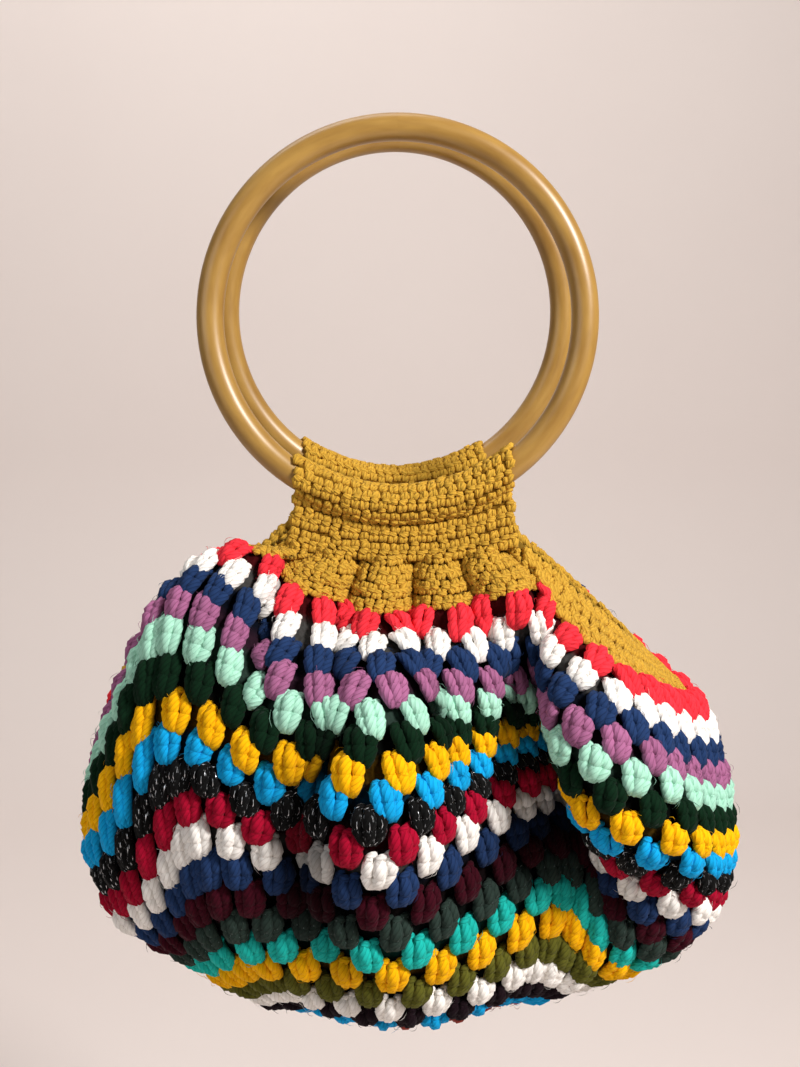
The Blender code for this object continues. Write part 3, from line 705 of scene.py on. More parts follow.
def strand_uvs(path, sides):
    """UVs of the quads and caps of strands: u is the length along one in mm, v the share round it."""
    length = reached_along(path) / MM
    share = np.arange(sides) / sides
    near = np.repeat(length[:, 1:-2, None], sides, axis=2)
    far = np.repeat(length[:, 2:-1, None], sides, axis=2)
    low, high = (np.broadcast_to(v, near.shape) for v in (share, share + 1 / sides))
    quad = ((near, low), (near, high), (far, high), (far, low))
    quad_uv = np.stack([np.stack(corner, -1) for corner in quad], -2)
    shape = (len(path), sides)
    first, last, whole = (np.broadcast_to(length[:, i, None], shape) for i in (1, -2, -1))
    a, b = (np.broadcast_to(v, shape) for v in (share, share + 1 / sides))
    zero = np.zeros(shape)
    caps = (((first, b), (first, a), (zero, a)), ((last, a), (last, b), (whole, a)))
    cap_uv = np.stack([np.stack([np.stack(corner, -1) for corner in cap], -2) for cap in caps], 1)
    return quad_uv.reshape(-1, 4, 2), cap_uv.reshape(-1, 3, 2)


def strand_arrays(path, outward, radius, flat=0.9, sides=STRAND_SIDES):
    """Strands of yarn: round sections carried along many short paths, closed at both ends.

    path and outward are strands x stations x 3, radius is strands x stations. The first and last
    stations are the poles. Section points are centre + r cos(t) side + flat r sin(t) outward.
    """
    count, stations = path.shape[:2]
    tangent = unit(np.gradient(path, axis=1))
    side = unit(np.cross(tangent, outward))
    lift = np.cross(side, tangent)
    turn = np.arange(sides) * 2 * math.pi / sides
    rings = (path[:, 1:-1, None] + radius[:, 1:-1, None, None]
             * (np.cos(turn)[:, None] * side[:, 1:-1, None]
                + flat * np.sin(turn)[:, None] * lift[:, 1:-1, None]))
    points = np.concatenate([rings.reshape(count, -1, 3), path[:, :1], path[:, -1:]], axis=1)
    start = (np.arange(count) * points.shape[1])[:, None, None]
    i = np.arange(sides)
    k = (i + 1) % sides
    inner = stations - 2
    row = np.arange(inner - 1)[:, None] * sides
    quads = np.stack([row + i, row + k, row + sides + k, row + sides + i], -1)
    quads = (quads.reshape(1, -1, 4) + start).reshape(-1, 4)
    last = (inner - 1) * sides
    pole = inner * sides
    caps = np.concatenate([np.stack([k, i, np.full_like(i, pole)], -1),
                           np.stack([last + i, last + k, np.full_like(i, pole + 1)], -1)])
    caps = (caps[None] + start).reshape(-1, 3)
    return points, quads, caps, *strand_uvs(path, sides)


def loose_fibres(path, outward, radius, shade, count, rng):
    """Fine fibres that stand off the strands in shallow arcs, rise sin(pi t) over a straight run.

    Takes the paths, outward directions, radii and shades of the strands, and gives those of the
    fibres.
    """
    strand = rng.integers(0, len(path), count)
    at = rng.uniform(1, path.shape[1] - 2, count)
    low = at.astype(int)
    part = (at - low)[:, None]
    root = path[strand, low] * (1 - part) + path[strand, low + 1] * part
    lift = outward[strand, low]
    along = unit(path[strand, low + 1] - path[strand, low])
    side = unit(np.cross(along, lift))
    angle = rng.uniform(-FIBRE_LEAN, FIBRE_LEAN, (count, 1))
    off = lift * np.cos(angle) + side * np.sin(angle)
    turn = rng.uniform(-FIBRE_TURN, FIBRE_TURN, (count, 1))
    run = along * np.cos(turn) + unit(np.cross(off, along)) * np.sin(turn)
    length = rng.uniform(*FIBRE_LENGTH, (count, 1, 1))
    rise = rng.uniform(*FIBRE_RISE, (count, 1, 1))
    t = FIBRE_STATIONS[None, :, None]
    start = root + off * radius[strand, low][:, None]
    line = start[:, None] + run[:, None] * length * (t - 0.5)
    line = line + off[:, None] * rise * np.sin(math.pi * t)
    taper = np.sin(math.pi * np.clip(FIBRE_STATIONS, *FIBRE_TAPER))
    thick = np.broadcast_to(FIBRE_RADIUS * taper, line.shape[:2])
    return line, np.broadcast_to(off[:, None], line.shape), thick, shade[strand]


def strand_piece(name, path, outward, radius, shade, material, fibres=None):
    """One piece made of many strands.

    shade is one number for each strand: 1 is light, 0 dark, and less is shade of a slot or hollow
    painted into its colour.
    """
    points, quads, caps, quad_uv, cap_uv = strand_arrays(path, outward, radius)
    tones = np.repeat(shade, points.shape[1])
    points, faces, uvs = points.reshape(-1, 3), [quads, caps], [quad_uv, cap_uv]
    if fibres is not None:
        line, off, thick, tone = fibres
        more, more_quads, more_caps, *more_uvs = strand_arrays(line, off, thick, 1.0, FIBRE_SIDES)
        faces += [more_quads + len(points), more_caps + len(points)]
        uvs += more_uvs
        tones = np.concatenate([tones, np.repeat(tone, more.shape[1])])
        points = np.concatenate([points, more.reshape(-1, 3)])
    return mesh_piece(name, "bag", points, faces, material, uvs, tones)


def row_places(side, row, slots=1.0):
    """Places along one side of a row, the share of its length reached at each, and its length."""
    places = side + np.linspace(0, 1, ROW_SAMPLES)
    points = cloth_point(places, np.full(ROW_SAMPLES, row), slots)
    reached = reached_along(points)
    return places, reached / reached[-1], reached[-1]


def pitch_aimed_at(side, number):
    """Pitch between the low and the high rounds' own, in step with the number of the round."""
    return float(np.interp(number, AIM_ROUNDS, CLUSTER_AIM[side]))


def end_margin(length, count, pitch):
    """How far the end clusters stand from the corners, in pitches, and the pitch that comes of it."""
    margin = np.clip((length / pitch - count + 1) / 2, *CORNER_MARGIN)
    return margin, length / (count - 1 + 2 * margin)


def cluster_counts():
    """How many clusters lie on each side of each round: one more or one fewer than on the last one.

    A flat square has one more in each round. Here the gathers swallow some, and a count that always
    changes by one keeps the rounds staggered, counted from the middle of the side.
    """
    counts = np.zeros((ROUND_COUNT + 1, 4), int)
    for side in range(4):
        for number in range(1, ROUND_COUNT + 1):
            aim = pitch_aimed_at(side, number)
            row = max(number - MIDDLE_OF_CLUSTER, INNERMOST_ROW)
            length = row_places(side, row, CLUSTERS_IN_SLOTS)[2]
            more, fewer = counts[number - 1, side] + 1, counts[number - 1, side] - 1
            grows = number <= GROWING_ROUNDS or (
                abs(end_margin(length, more, aim)[1] - aim)
                <= abs(end_margin(length, fewer, aim)[1] - aim))
            counts[number, side] = more if grows else fewer
    return counts


def cluster_seats(counts):
    """Places of the clusters' feet and tops and their pitch, for every round.

    A cluster is worked into the space between two clusters of the round before. Its place is
    halfway between theirs, moved towards even spacing along its own round: by EVEN_SHARE in the
    middle of a side and all the way at its corners.
    """
    seats = {number: [] for number in range(1, ROUND_COUNT + 1)}
    for side in range(4):
        last = np.array([])
        for number in range(1, ROUND_COUNT + 1):
            n = counts[number, side]
            row = max(number - MIDDLE_OF_CLUSTER, INNERMOST_ROW)
            places, share, length = row_places(side, row, CLUSTERS_IN_SLOTS)
            margin, pitch = end_margin(length, n, pitch_aimed_at(side, number))
            even = np.interp((np.arange(n) + margin) * pitch / length, share, places)
            from_middle = np.abs(2 * (np.arange(n) + 0.5) / n - 1)
            between = (last[1:] + last[:-1]) / 2
            if n > len(last):
                between = np.concatenate([even[:1], between, even[1:][-1:]])
            tops = between + (even - between) * (EVEN_SHARE + (1 - EVEN_SHARE) * from_middle ** 3)
            feet = tops + (between - tops) * FOOT_DRIFT
            seats[number].append((feet, tops, np.full(n, pitch)))
            last = tops
    return {number: [np.concatenate(part) for part in zip(*sides)]
            for number, sides in seats.items()}


def deep_shade(place, row):
    """Painted shade: 0 on the open cloth, rising to 1 deep in the slots of the pleats and to more in
    the hollows.

    It is a smooth step of the push inwards, or a hollow's strength times exp(-distance squared).
    """
    shape = np.shape(place)
    place, row = np.ravel(place), np.ravel(row)
    face = np.where(np.floor(place % 4) == 0, -1.0, 1.0)
    shade = smooth_step(-fold_push(place, row)[:, 1] * face / SHADED_DEPTH)
    for at, at_row, half, half_rows, strength in HOLLOWS.values():
        away = ((place % 4 - at) / half) ** 2 + ((row - at_row) / half_rows) ** 2
        shade = np.maximum(shade, strength * np.exp(-away))
    return shade.reshape(shape)


def cluster_stand(place, row):
    """How a cluster stands, from the steps beside it and below it on the cloth.

    Gives the change of place per row that keeps it upright, the length of a row, and the directions
    along the round and up the cloth.
    """
    here = cloth_point(place, row, CLUSTERS_IN_SLOTS)
    beside = cloth_point(place + FRAME_PLACE_STEP, row, CLUSTERS_IN_SLOTS)
    below = cloth_point(place, row - FRAME_ROW_STEP, CLUSTERS_IN_SLOTS)
    along = (beside - here) / FRAME_PLACE_STEP
    up = (here - below) / FRAME_ROW_STEP
    level = unit(along[:, :2])
    drift = (up[:, :2] * level).sum(1)
    shift = -drift / np.maximum((along[:, :2] * level).sum(1), SLOWEST_PLACE)
    return shift, np.linalg.norm(up, axis=1), unit(along), unit(up)


def post_strands(kind, wide, lean, stand):
    """One strand of each of the three posts of every cluster, in the cluster's own measures.

    v goes from 0 at the foot to 1 at the top, a is sideways and w outwards. The posts share one foot
    and fan out above it, and bulge as sin(pi v). A loop lies across the top of its post.
    """
    v_from, v_to, slant, proud, thick = STRAND_KINDS[kind]
    t = STRAND_STATIONS
    post = np.array([-1.0, 0.0, 1.0])
    squeeze = np.clip(wide / FULL_PITCH, 0.0, WIDEST_YARN)[:, None, None]
    wide = wide[:, None]
    v = v_from + (v_to - v_from) * t
    fan = smooth_step(v / WIDEST_AT)
    close = smooth_step((v - WIDEST_AT) / (1 - WIDEST_AT))
    spread = POST_AT_FOOT + (wide * POST_WIDEST - POST_AT_FOOT) * fan
    spread = spread + wide * (POST_AT_TOP - POST_WIDEST) * close
    a = post[None, :, None] * spread[:, None, :] + lean[:, :, None] * v
    if kind == "loop":
        a = a + (t - 0.5) * 2 * LOOP_REACH * wide[:, None]
    else:
        a = a + (t - 0.5) * slant
    bulge = CLUSTER_BULGE * np.sin(math.pi * (v * BULGE_SPAN + BULGE_FROM)) ** BULGE_FULLNESS
    w = bulge + proud * np.sin(math.pi * t) - CLUSTER_ROUNDING * (post[:, None] ** 2) * fan
    return v, a, w[None] + stand * fan, thick * squeeze * STRAND_TAPER


def cluster_strands(number, seats, rng):
    """Paths of all the strands of a round, in strands x stations arrays.

    Each cluster is three posts. A post is a lower strand, an upper strand that slants the other way
    over it, and a loop. The points lie between the curved cloth and the flat plane that touches it
    in the cluster's middle.
    """
    feet, tops, pitch = seats[number]
    count = len(feet)
    wide = pitch * rng.uniform(*CLUSTER_WIDTHS, count)
    lean = rng.normal(0, POST_LEAN, (count, 3)) + rng.normal(0, CLUSTER_LEAN, (count, 1))
    stand = rng.normal(0, CLUSTER_PROUD, (count, 1, 1))
    lift = rng.uniform(*CLUSTER_LIFTS, count)[:, None]
    middle_row = np.full(count, max(number - MIDDLE_OF_CLUSTER, INNERMOST_ROW + FRAME_ROW_STEP))
    centre_place = (feet + tops) / 2
    shift, row_length, sideways, upward = cluster_stand(centre_place, middle_row)
    tall = np.clip(CLUSTER_HEIGHT / row_length, *CLUSTER_ROWS)
    centre, facing, speed = cloth_frame(centre_place, middle_row, CLUSTERS_IN_SLOTS)
    middle = np.maximum(speed, SLOWEST_PLACE)
    limit = MOST_HANG * pitch / middle
    swing = limit * np.tanh(shift * tall * HANG / limit)
    groups = []
    for kind in STRAND_KINDS:
        v, a, w, size = post_strands(kind, wide, lean, stand)
        seat = feet[:, None] + (tops - feet)[:, None] * smooth_step(v * FOOT_TO_TOP)
        seat = seat + swing[:, None] * (v - SHARE_BELOW)
        row = number - MIDDLE_OF_CLUSTER + tall[:, None] * (v - SHARE_BELOW + lift)
        groups.append(np.broadcast_arrays(seat[:, None], row[:, None], a, w, size))
    seat, row, a, w, size = (np.concatenate(parts, axis=1) for parts in zip(*groups))
    place = seat + a / middle[:, None, None]
    point, outward, _ = cloth_frame(place, row, CLUSTERS_IN_SLOTS)
    path = point + outward * w[..., None]
    across = (place - centre_place[:, None, None]) * middle[:, None, None]
    high = (row - middle_row[:, None, None]) * row_length[:, None, None]
    firm = (centre[:, None, None] + across[..., None] * sideways[:, None, None]
            + high[..., None] * upward[:, None, None] + w[..., None] * facing[:, None, None])
    path = path + (firm - path) * CLUSTER_FIRMNESS
    strands = path.shape[0] * path.shape[1]
    shade = (np.repeat(rng.random(count), path.shape[1]) * CLUSTER_TONES
             + rng.random(strands) * (1 - CLUSTER_TONES))
    # Painted shade: the yarn's colour is darkened deep in slots and hollows
    shade = shade - DEEP_SHADE * deep_shade(place, row).mean(2).ravel()
    shape = (strands, len(STRAND_STATIONS))
    return path.reshape(*shape, 3), outward.reshape(*shape, 3), size.reshape(shape), shade


def close_stitches(seats, rows, wide, tall, surface, rng, turned_share):
    """Single crochet: two legs that spread upwards as a V, and a bump across their top.

    seats, rows and wide are one number for each stitch, in the surface's own sideways and upward
    units, and tall is the height of a stitch. surface(u, v) gives points and outward directions.
    A turned stitch is upside down, and turned_share is how likely that is.
    """
    t = CLOSE_STATIONS
    groups = []
    count = len(seats)
    shift = rng.normal(0, CLOSE_JITTER, (count, 2))
    turned = rng.random(count) < turned_share
    for u_from, v_from, u_to, v_to, proud, thick in CLOSE_STRANDS:
        bent = rng.normal(0, CLOSE_JITTER, (count, 5))
        across = u_from + (u_to - u_from) * t + bent[:, :1] * (1 - t) + bent[:, 1:2] * t
        u = seats[:, None] + wide[:, None] * (across + shift[:, :1])
        up = v_from + (v_to - v_from) * t + bent[:, 2:3] * (1 - t) + bent[:, 3:4] * t
        up = np.where(turned[:, None], 1.0 - up, up)
        v = rows[:, None] + tall * (up + shift[:, 1:])
        point, outward = surface(u, v)
        w = proud * (1 + bent[:, 4:] * RISE_JITTER) + CLOSE_BULGE * np.sin(math.pi * t)
        size = np.broadcast_to(thick * CLOSE_TAPER, u.shape) * (1 + bent[:, 4:])
        groups.append((point + outward * w[..., None], outward, size))
    path, outward, size = (np.concatenate(parts) for parts in zip(*groups))
    shade = (np.tile(rng.random(count), len(CLOSE_STRANDS)) * CLOSE_TONES
             + rng.random(len(path)) * (1 - CLOSE_TONES))
    return path, outward, size, shade


def cloth_outside(place, row):
    """The cloth's middle surface, with directions out of the sack."""
    return cloth_frame(place, row)[:2]


def cloth_inside(place, row):
    """The cloth's middle surface, with directions into the sack."""
    point, outward, _ = cloth_frame(place, row)
    return point, -outward


def border_stitches(rng, sides, surface):
    """Rows of close stitches on the cloth's edge, spaced by length along each side of each row."""
    parts = []
    for side in sides:
        tall = (EDGE_ROW - ROUND_COUNT) / BORDER_ROWS[side % 2]
        for number in range(BORDER_ROWS[side % 2]):
            row = ROUND_COUNT + number * tall
            places, share, length = row_places(side, row + tall / 2)
            count = int(round(length / BORDER_PITCH[side % 2]))
            step = (np.arange(count) + 0.5 + ROW_SHIFT * (number % 2)) / (count + ROW_SHIFT)
            seats = np.interp(step, share, places)
            ends = [np.interp(step + half / count, share, places) for half in (-0.5, 0.5)]
            rows = np.full(count, row)
            path, outward, size, shade = close_stitches(
                seats, rows, ends[1] - ends[0], tall, surface, rng, TURNED_SHARES[number % 2])
            # Painted shade: the yarn's colour is darkened deep in the slots
            shade = shade - DEEP_SHADE * np.tile(deep_shade(seats, rows), len(CLOSE_STRANDS))
            parts.append((path, outward, size * BORDER_YARN[side % 2], shade))
    return [np.concatenate(part) for part in zip(*parts)]


def sewing_strands(front):
    """Zigzag of sewing yarn on the inner face, where the yoke's turned-over edge is sewn down."""
    count = int(YOKE_WIDTH * SEWN_SHARE / SEWING_STEP)
    a = np.linspace(-SEWN_SHARE, SEWN_SHARE, count + 1)
    x = yoke_x(front, a, YOKE_RING_WIDTH)
    height = tube_height(x, 0.0, 0.0)
    down = SEWING_TOP + SEWING_STEP * (np.arange(count + 1) % 2)
    share = down / (height - seam_height(a))
    x = x + (yoke_x(front, a, YOKE_WIDTH) - x) * share
    knots = handle_point(front, x, -SEWING_PROUD, height - down)
    t = STRAND_STATIONS[None, :, None]
    path = knots[:-1, None] * (1 - t) + knots[1:, None] * t
    inward = np.array([0.0, 1.0, 0.0]) if front else np.array([0.0, -1.0, 0.0])
    outward = np.broadcast_to(inward, path.shape)
    size = np.broadcast_to(SEWING_YARN / 2 * STRAND_TAPER, path.shape[:2])
    return path, outward, size, np.full(count, SEWING_TONE)


def yoke_grid(front):
    """Middle surface of a yoke: stations along the handle x points from its front to its back foot.

    Each section goes straight up from the seam, round the ring's tube, and straight down again.
    """
    join = math.asin(YOKE_CLOTH / 2 / YOKE_SLEEVE)
    turn = np.linspace(join, 2 * math.pi - join, YOKE_ROUND_POINTS)
    sections = []
    for a in np.linspace(-1, 1, YOKE_STATIONS):
        x = yoke_x(front, a, YOKE_RING_WIDTH if front else BACK_YOKE_RING_WIDTH)
        foot = yoke_x(front, a, YOKE_WIDTH)
        radius = YOKE_SLEEVE + (YOKE_SLEEVE_END - YOKE_SLEEVE) * a ** 4
        sleeve = handle_point(front, x, radius * np.sin(turn), tube_height(x, radius, turn))
        near, far = (handle_point(front, foot, y, seam_height(a) - YOKE_LAP)
                     for y in (YOKE_CLOTH / 2, -YOKE_CLOTH / 2))
        line = np.concatenate([[near], sleeve, [far]])
        reached = reached_along(line)
        even = np.linspace(0, reached[-1], YOKE_LINE_POINTS)
        sections.append(np.stack([np.interp(even, reached, line[:, i]) for i in range(3)], -1))
    return np.array(sections)


def tube_height(x, radius, turn):
    """Height of a tube round the ring's lower part, where an upright plane at x cuts it."""
    return RING_CENTRE_Z - np.sqrt((RING_RADIUS + radius * np.cos(turn)) ** 2 - x * x)


def strip_length(grid):
    """Length of a yoke's strip along its middle, from one foot round the ring to the other."""
    return float(np.linalg.norm(np.diff(grid[len(grid) // 2], axis=0), axis=1).sum())


def yoke_normals(grid, front):
    """Directions square to a yoke's cloth, from the steps along the grid's two sides.

    They point outwards: on the first face, towards the viewer from the front yoke, and away from
    the back one.
    """
    normals = unit(np.cross(np.gradient(grid, axis=0), np.gradient(grid, axis=1)))
    points_back = normals[len(grid) // 2, FIRST_FACE_POINT, 1] > 0
    return -normals if points_back == front else normals


def surface_of(grid, normals):
    """A function that reads points and directions off a grid, both its sides going from 0 to 1.

    Between the grid's points it weighs the four round about by how near they are.
    """
    def surface(u, v):
        i = np.clip(u, 0, 1) * (grid.shape[0] - 1)
        j = np.clip(v, 0, 1) * (grid.shape[1] - 1)
        i0 = np.minimum(i.astype(int), grid.shape[0] - 2)
        j0 = np.minimum(j.astype(int), grid.shape[1] - 2)
        s, t = (i - i0)[..., None], (j - j0)[..., None]

        def read(table):
            return ((table[i0, j0] * (1 - s) + table[i0 + 1, j0] * s) * (1 - t)
                    + (table[i0, j0 + 1] * (1 - s) + table[i0 + 1, j0 + 1] * s) * t)

        return read(grid), unit(read(normals))
    return surface


def yoke_stitches(grid, normals, rng):
    """Rows of close stitches over a yoke, from one foot round the ring to the other."""
    surface = surface_of(grid, normals)
    rows = int(round(strip_length(grid) / CLOSE_ROW))
    count = int(round(YOKE_WIDTH / CLOSE_PITCH))
    row, column = (m.ravel() for m in np.indices((rows, count)))
    seats = (column + 0.5 + ROW_SHIFT * (row % 2 - 0.5)) / count
    wide = np.full(len(seats), 1 / count)
    turned_share = np.array(TURNED_SHARES)[row % 2]
    return close_stitches(seats, row / rows, wide, 1 / rows, surface, rng, turned_share)


def thin_sheet(name, grid, normals, material, colours, closed):
    """A sheet of even thickness round a grid of points, closed at its edges.

    colours is one linear colour for each point along the grid's second side, for the inner and for
    the outer face. closed says that its first side runs round and meets itself.
    """
    across, up = grid.shape[:2]
    layer = across * up
    near = grid - normals * SHEET_THICKNESS / 2
    far = grid + normals * SHEET_THICKNESS / 2
    points = np.concatenate([near.reshape(-1, 3), far.reshape(-1, 3)])
    i = np.arange(across if closed else across - 1)
    j = np.arange(up - 1)
    here, beside = i * up, (i + 1) % across * up
    cell = [(start[:, None] + j + step).ravel()
            for start, step in ((here, 0), (beside, 0), (beside, 1), (here, 1))]
    top = np.stack(cell, -1) + layer
    bottom = np.stack(cell[::-1], -1)
    first = np.stack([here, beside, beside + layer, here + layer], -1)
    faces = [top, bottom, first, first[:, ::-1] + up - 1]
    if not closed:
        end = (across - 1) * up
        faces.append(np.stack([j + layer, j + 1 + layer, j + 1, j], -1))
        faces.append(np.stack([end + j, end + j + 1, end + j + 1 + layer, end + j + layer], -1))
    piece = mesh_piece(name, "bag", points, faces, material)
    table = np.repeat(np.asarray(colours)[:, None], across, axis=1)
    attribute = piece.data.attributes.new("yarn_colour", "FLOAT_COLOR", "POINT")
    attribute.data.foreach_set("color", table.astype(np.float32).ravel())
    return piece


def ring_piece(front, material):
    """A torus: its round section carried round a circle, in the frame of its handle."""
    name = "front" if front else "back"
    i, j = (m.ravel() for m in np.indices((RING_STEPS, RING_SIDES)))
    turn, around = i * 2 * math.pi / RING_STEPS, j * 2 * math.pi / RING_SIDES
    reach = RING_RADIUS + RING_TUBE_DIAMETER / 2 * np.cos(around)
    points = handle_point(front, reach * np.sin(turn), RING_TUBE_DIAMETER / 2 * np.sin(around),
                          RING_CENTRE_Z + reach * np.cos(turn))
    here, ahead = i * RING_SIDES, (i + 1) % RING_STEPS * RING_SIDES
    beside = (j + 1) % RING_SIDES
    quads = np.stack([here + j, here + beside, ahead + beside, ahead + j], -1)
    u = np.stack([i, i, i + 1, i + 1], -1) / RING_STEPS
    v = np.stack([j, j + 1, j + 1, j], -1) / RING_SIDES
    piece = mesh_piece(f"ring_{name}", f"{name}_handle", points, [quads], material,
                       [np.stack([u, v], -1)])
    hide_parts(f"ring_handle_{name}")
    return piece


def yarn_material(name):
    """Plied acrylic yarn, spun and brushed: matt, with twisted plies and a soft bloom of fibres.

    The plies are |sin(pi (plies x around + along / ply length))| on the strand's own UV, and spun
    fibres are noise drawn out along them. A metallic thread shows as short dashes of noise. Shade is
    painted into the colour: darker in the grooves between the plies, and from the shade attribute in
    slots and hollows.
    """
    lit, groove = YARNS[name]
    material, shader = new_material(f"plied_yarn_{name}")
    uv = node(material, "ShaderNodeUVMap", {"uv_map": "yarn"})
    split = node(material, "ShaderNodeSeparateXYZ", i0=uv)
    along, around = split.outputs[0], split.outputs[1]
    turns = node(material, "ShaderNodeMath", {"operation": "MULTIPLY", 1: PLIES * math.pi}, i0=around)
    run = node(material, "ShaderNodeMath", {"operation": "MULTIPLY_ADD", 1: math.pi / PLY_LENGTH},
               i0=along, i2=turns)
    wave = node(material, "ShaderNodeMath", {"operation": "SINE"}, i0=run)
    ply = node(material, "ShaderNodeMath", {"operation": "ABSOLUTE"}, i0=wave)
    place = node(material, "ShaderNodeTexCoord")
    fibres = node(material, "ShaderNodeTexNoise", {"Scale": FIBRES_TO_MM / MM, "Detail": 2.0},
                  Vector=place.outputs["Object"])
    lay = node(material, "ShaderNodeCombineXYZ", i0=run, i1=along)
    stretch = node(material, "ShaderNodeMapping", {"Scale": (1.6, 0.35, 1.0)}, i0=lay)
    spun = node(material, "ShaderNodeTexNoise", {"Scale": 1.0, "Detail": 2.0}, Vector=stretch)
    soft = node(material, "ShaderNodeMath", {"operation": "MULTIPLY_ADD", 1: 0.6}, i0=spun, i2=ply)
    height = node(material, "ShaderNodeMath", {"operation": "MULTIPLY_ADD", 1: 0.2},
                  i0=fibres, i2=soft)
    bump = node(material, "ShaderNodeBump", {"Strength": 0.55, "Distance": 0.35 * MM}, Height=height)
    tone = node(material, "ShaderNodeMapRange", {"From Min": 0.0, "From Max": 0.4, "To Min": 0.3},
                Value=ply)
    # The darker groove colour between the plies is painted shade
    colour = node(material, "ShaderNodeMix", {"data_type": "RGBA", 6: srgb(groove), 7: srgb(lit)},
                  i0=tone)
    # The shade attribute: a tone that varies at random from strand to strand, lowered by painted shade
    # in slots and hollows
    tone_and_painted_shade = node(material, "ShaderNodeAttribute", {"attribute_name": "shade"})
    dark = node(material, "ShaderNodeMapRange", {"clamp": False, "To Min": 0.86, "To Max": 1.08},
                Value=tone_and_painted_shade.outputs["Fac"])
    toned_and_shaded = node(material, "ShaderNodeHueSaturation", Color=colour.outputs[2], Value=dark)
    result = toned_and_shaded.outputs[0]
    node(material, shader, {"Roughness": 0.85, "Specular IOR Level": 0.05, "Sheen Weight": 0.02,
                            "Sheen Roughness": 0.5}, Normal=bump)
    if name in SPARKLES:
        glint, shows_from, shows_at = SPARKLES[name]
        spread = node(material, "ShaderNodeCombineXYZ", i0=along, i1=around)
        dashes = node(material, "ShaderNodeMapping", {"Scale": (0.25, 24.0, 1.0)}, i0=spread)
        specks = node(material, "ShaderNodeTexNoise", {"Scale": 1.0, "Detail": 1.0}, Vector=dashes)
        cut = node(material, "ShaderNodeMapRange", {"From Min": shows_from, "From Max": shows_at},
                   Value=specks)
        gloss = node(material, "ShaderNodeMapRange", {"To Min": 0.8, "To Max": 0.25}, Value=cut)
        mixed = node(material, "ShaderNodeMix", {"data_type": "RGBA", 7: srgb(glint)},
                     i0=cut, i6=result)
        result = mixed.outputs[2]
        node(material, shader, Metallic=cut, Roughness=gloss)
    node(material, shader, Base_Color=result)
    return material


def ground_material():
    """The feet and chains of the stitches, deep between the clusters, coloured by the attribute
    yarn_colour, which holds painted shade on their outer faces.
    """
    material, shader = new_material("yarn_feet_in_shade")
    colour = node(material, "ShaderNodeAttribute", {"attribute_name": "yarn_colour"})
    place = node(material, "ShaderNodeTexCoord")
    loops = node(material, "ShaderNodeTexVoronoi", {"Scale": LOOPS_TO_MM / MM},
                 Vector=place.outputs["Object"])
    bump = node(material, "ShaderNodeBump", {"Strength": 0.8, "Distance": 1.0 * MM}, Height=loops)
    node(material, shader, {"Roughness": 0.95, "Specular IOR Level": 0.1},
         Base_Color=colour.outputs["Color"], Normal=bump)
    return material


def ring_material():
    """Cast polyester resin with a satin polish: khaki-tan, with faint streaks along the tube."""
    material, shader = new_material("satin_cast_resin")
    uv = node(material, "ShaderNodeUVMap", {"uv_map": "yarn"})
    stretch = node(material, "ShaderNodeMapping", {"Scale": (14.0, 5.0, 1.0)}, i0=uv)
    streaks = node(material, "ShaderNodeTexNoise", {"Scale": 1.0, "Detail": 3.0, "Roughness": 0.6},
                   Vector=stretch)
    band = node(material, "ShaderNodeMapRange", {"From Min": 0.3, "From Max": 0.7}, Value=streaks)
    dark, light = (srgb(code) for code in RESIN)
    colour = node(material, "ShaderNodeMix", {"data_type": "RGBA", 6: dark, 7: light}, i0=band)
    place = node(material, "ShaderNodeTexCoord")
    ripple = node(material, "ShaderNodeTexNoise", {"Scale": RIPPLES_TO_MM / MM},
                  Vector=place.outputs["Object"])
    bump = node(material, "ShaderNodeBump", {"Strength": 0.06, "Distance": 0.3 * MM}, Height=ripple)
    node(material, shader, {"Roughness": 0.36, "IOR": 1.54},
         Base_Color=colour.outputs[2], Normal=bump)
    return material


def plaster_material():
    """Painted plaster, rolled on and matt: nearly even, with a faint mottle."""
    material, shader = new_material("painted_plaster")
    place = node(material, "ShaderNodeTexCoord")
    mottle = node(material, "ShaderNodeTexNoise", {"Scale": 3.0, "Detail": 2.0},
                  Vector=place.outputs["Object"])
    light, dark = (srgb(code) for code in PLASTER)
    colour = node(material, "ShaderNodeMix", {"data_type": "RGBA", 6: light, 7: dark}, i0=mottle)
    node(material, shader, {"Roughness": 0.9}, Base_Color=colour.outputs[2])
    return material


def add_camera():
    """The photograph's camera, level and pitched down from where it stood."""
    data = bpy.data.cameras.new("camera")
    data.sensor_width = SENSOR
    data.lens = SENSOR * FOCAL_PIXELS / PHOTO_HEIGHT
    data.clip_start = 0.01
    bpy.context.scene.camera = add_object("camera", data, CAMERA_PLACE, (CAMERA_PITCH, 0, 0))


def add_lamp(name, place, aim, size, power, tint):
    """A round soft lamp that faces the point aimed at."""
    data = bpy.data.lights.new(name, "AREA")
    data.shape = "DISK"
    data.size = size
    data.energy = power
    data.color = tint
    x, y, z = np.array(place) - np.array(aim)
    turn = (math.atan2(math.hypot(x, y), z), 0, math.atan2(y, x) + math.pi / 2)
    add_object(name, data, place, turn)


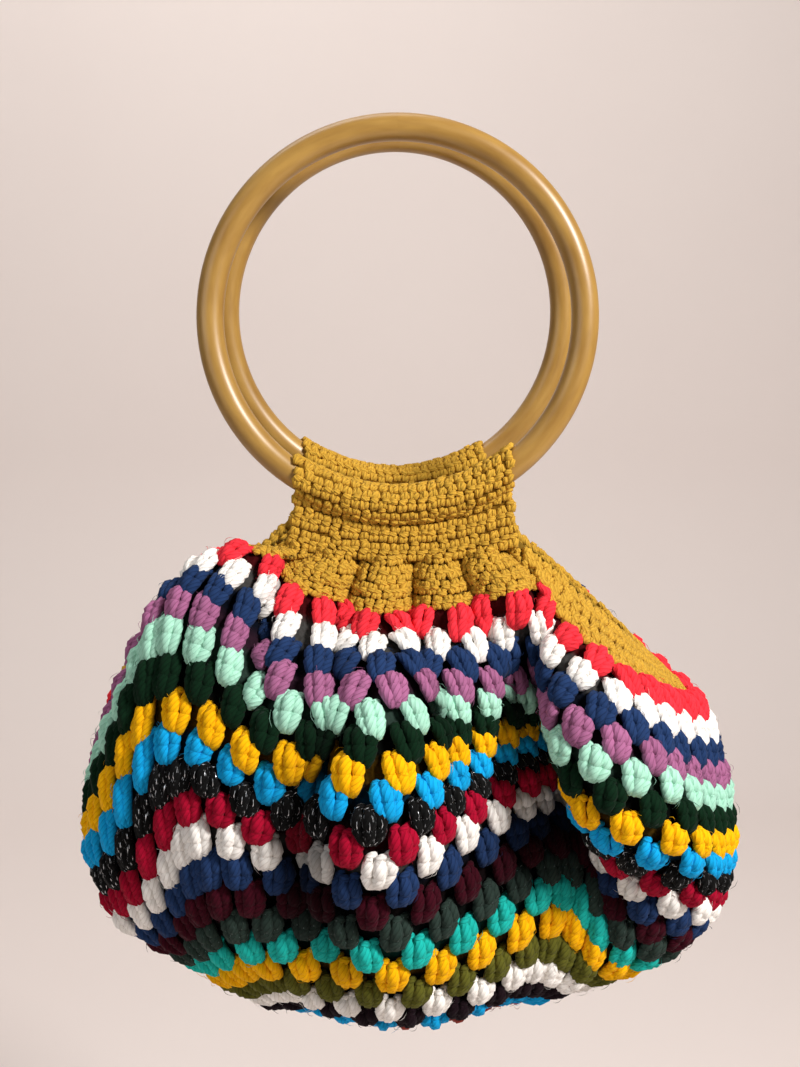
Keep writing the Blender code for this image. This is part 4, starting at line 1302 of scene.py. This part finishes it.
def add_stage():
    """Pale plaster floor and wall in one sweep, with a quarter circle between them."""
    floor = float(CAD_BOX[0][2]) - STAGE_GAP
    bend = np.linspace(0, math.pi / 2, STAGE_BEND_STEPS)
    y = np.concatenate([[-STAGE_REACH], STAGE_BACK + STAGE_BEND * np.sin(bend),
                        [STAGE_BACK + STAGE_BEND]])
    z = np.concatenate([[floor], floor + STAGE_BEND * (1 - np.cos(bend)), [floor + STAGE_REACH]])
    points = [(x, *point) for x in (-STAGE_REACH, STAGE_REACH) for point in zip(y, z)]
    j = np.arange(len(y) - 1)
    faces = np.stack([j, j + len(y), j + len(y) + 1, j + 1], -1)
    data = bpy.data.meshes.new("backdrop")
    data.from_pydata(points, [], faces.tolist())
    data.polygons.foreach_set("use_smooth", np.ones(len(faces), bool))
    data.materials.append(plaster_material())
    add_object("backdrop", data)


def add_world():
    """Soft light of a room, and the colours shown as they are in the photograph."""
    bpy.context.scene.view_settings.view_transform = "Standard"
    world = bpy.data.worlds.new("soft_room")
    world.use_nodes = True
    tint, strength = ROOM_LIGHT
    background = world.node_tree.nodes["Background"]
    background.inputs[0].default_value = srgb(tint)
    background.inputs[1].default_value = strength
    bpy.context.scene.world = world


add_camera()
add_stage()
add_world()
for name, lamp in LAMPS.items():
    add_lamp(name, *lamp)

rng = np.random.default_rng(SEED)
yarns = {name: yarn_material(name) for name in YARNS}
resin = ring_material()
ground = ground_material()

for front in (True, False):
    ring_piece(front, resin)

# The rounds of clusters
seats = cluster_seats(cluster_counts())
round_nodes = sorted(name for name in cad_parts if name.startswith("round_"))
round_yarns = [cad_node[len("round_00_"):] for cad_node in round_nodes]
crochet = []
for number, (cad_node, yarn) in enumerate(zip(round_nodes, round_yarns), 1):
    strands = cluster_strands(number, seats, rng)
    fibres = loose_fibres(*strands, len(seats[number][0]) * FIBRES_PER_CLUSTER, rng)
    piece = strand_piece(f"clusters_{number:02d}_{yarn}", *strands, yarns[yarn], fibres)
    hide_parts(cad_node)
    crochet.append(piece)

# The border, on both faces along the free rims
strands = border_stitches(rng, range(4), cloth_outside)
edge = strand_piece("border_stitches", *strands, yarns["mustard"])
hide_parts("border")
strands = border_stitches(rng, (1, 3), cloth_inside)
lining = strand_piece("border_stitches_inside", *strands, yarns["mustard"])
crochet += [edge, lining]

# The thin cloth between the stitches: its inner face has the yarn's lit colour, and its outer one is
# painted dark as their shade
rows = np.linspace(INNERMOST_ROW, EDGE_ROW, ROUND_COUNT * GROUND_STEPS)
place, row = np.meshgrid(np.arange(GROUND_COLUMNS) * 4 / GROUND_COLUMNS, rows, indexing="ij")
middle, outward, _ = cloth_frame(place, row)
row_yarns = round_yarns + ["mustard"] * math.ceil(EDGE_ROW - ROUND_COUNT)
lit = np.array([srgb(YARNS[row_yarns[int(r)]][0]) for r in rows])
# Painted shade: the outer face's colour is the lit one dimmed, darkest among the clusters
shaded = lit * np.where(rows < ROUND_COUNT, GROUND_SHADE, BORDER_SHADE)[:, None]
shaded[:, 3] = 1.0
cloth = thin_sheet("cloth_ground", middle - outward * GROUND_DEPTH, outward, ground,
                   [lit, shaded], True)

# The yokes
for front in (True, False):
    name = "front" if front else "back"
    grid = yoke_grid(front)
    normals = yoke_normals(grid, front)
    strands = yoke_stitches(grid, normals, rng)
    stitches = strand_piece(f"yoke_stitches_{name}", *strands, yarns["mustard"])
    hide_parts(f"yoke_{name}")
    # Painted shade: the yokes' thin cloth is dark brown on both faces
    brown = np.tile(srgb(YOKE_GROUND), (2, grid.shape[1], 1))
    strip = thin_sheet(f"yoke_ground_{name}", grid[1:-1], normals[1:-1], ground, brown, False)
    sewing = strand_piece(f"yoke_sewing_{name}", *sewing_strands(front), yarns["mustard"])
    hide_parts(f"yoke_seam_{name}")
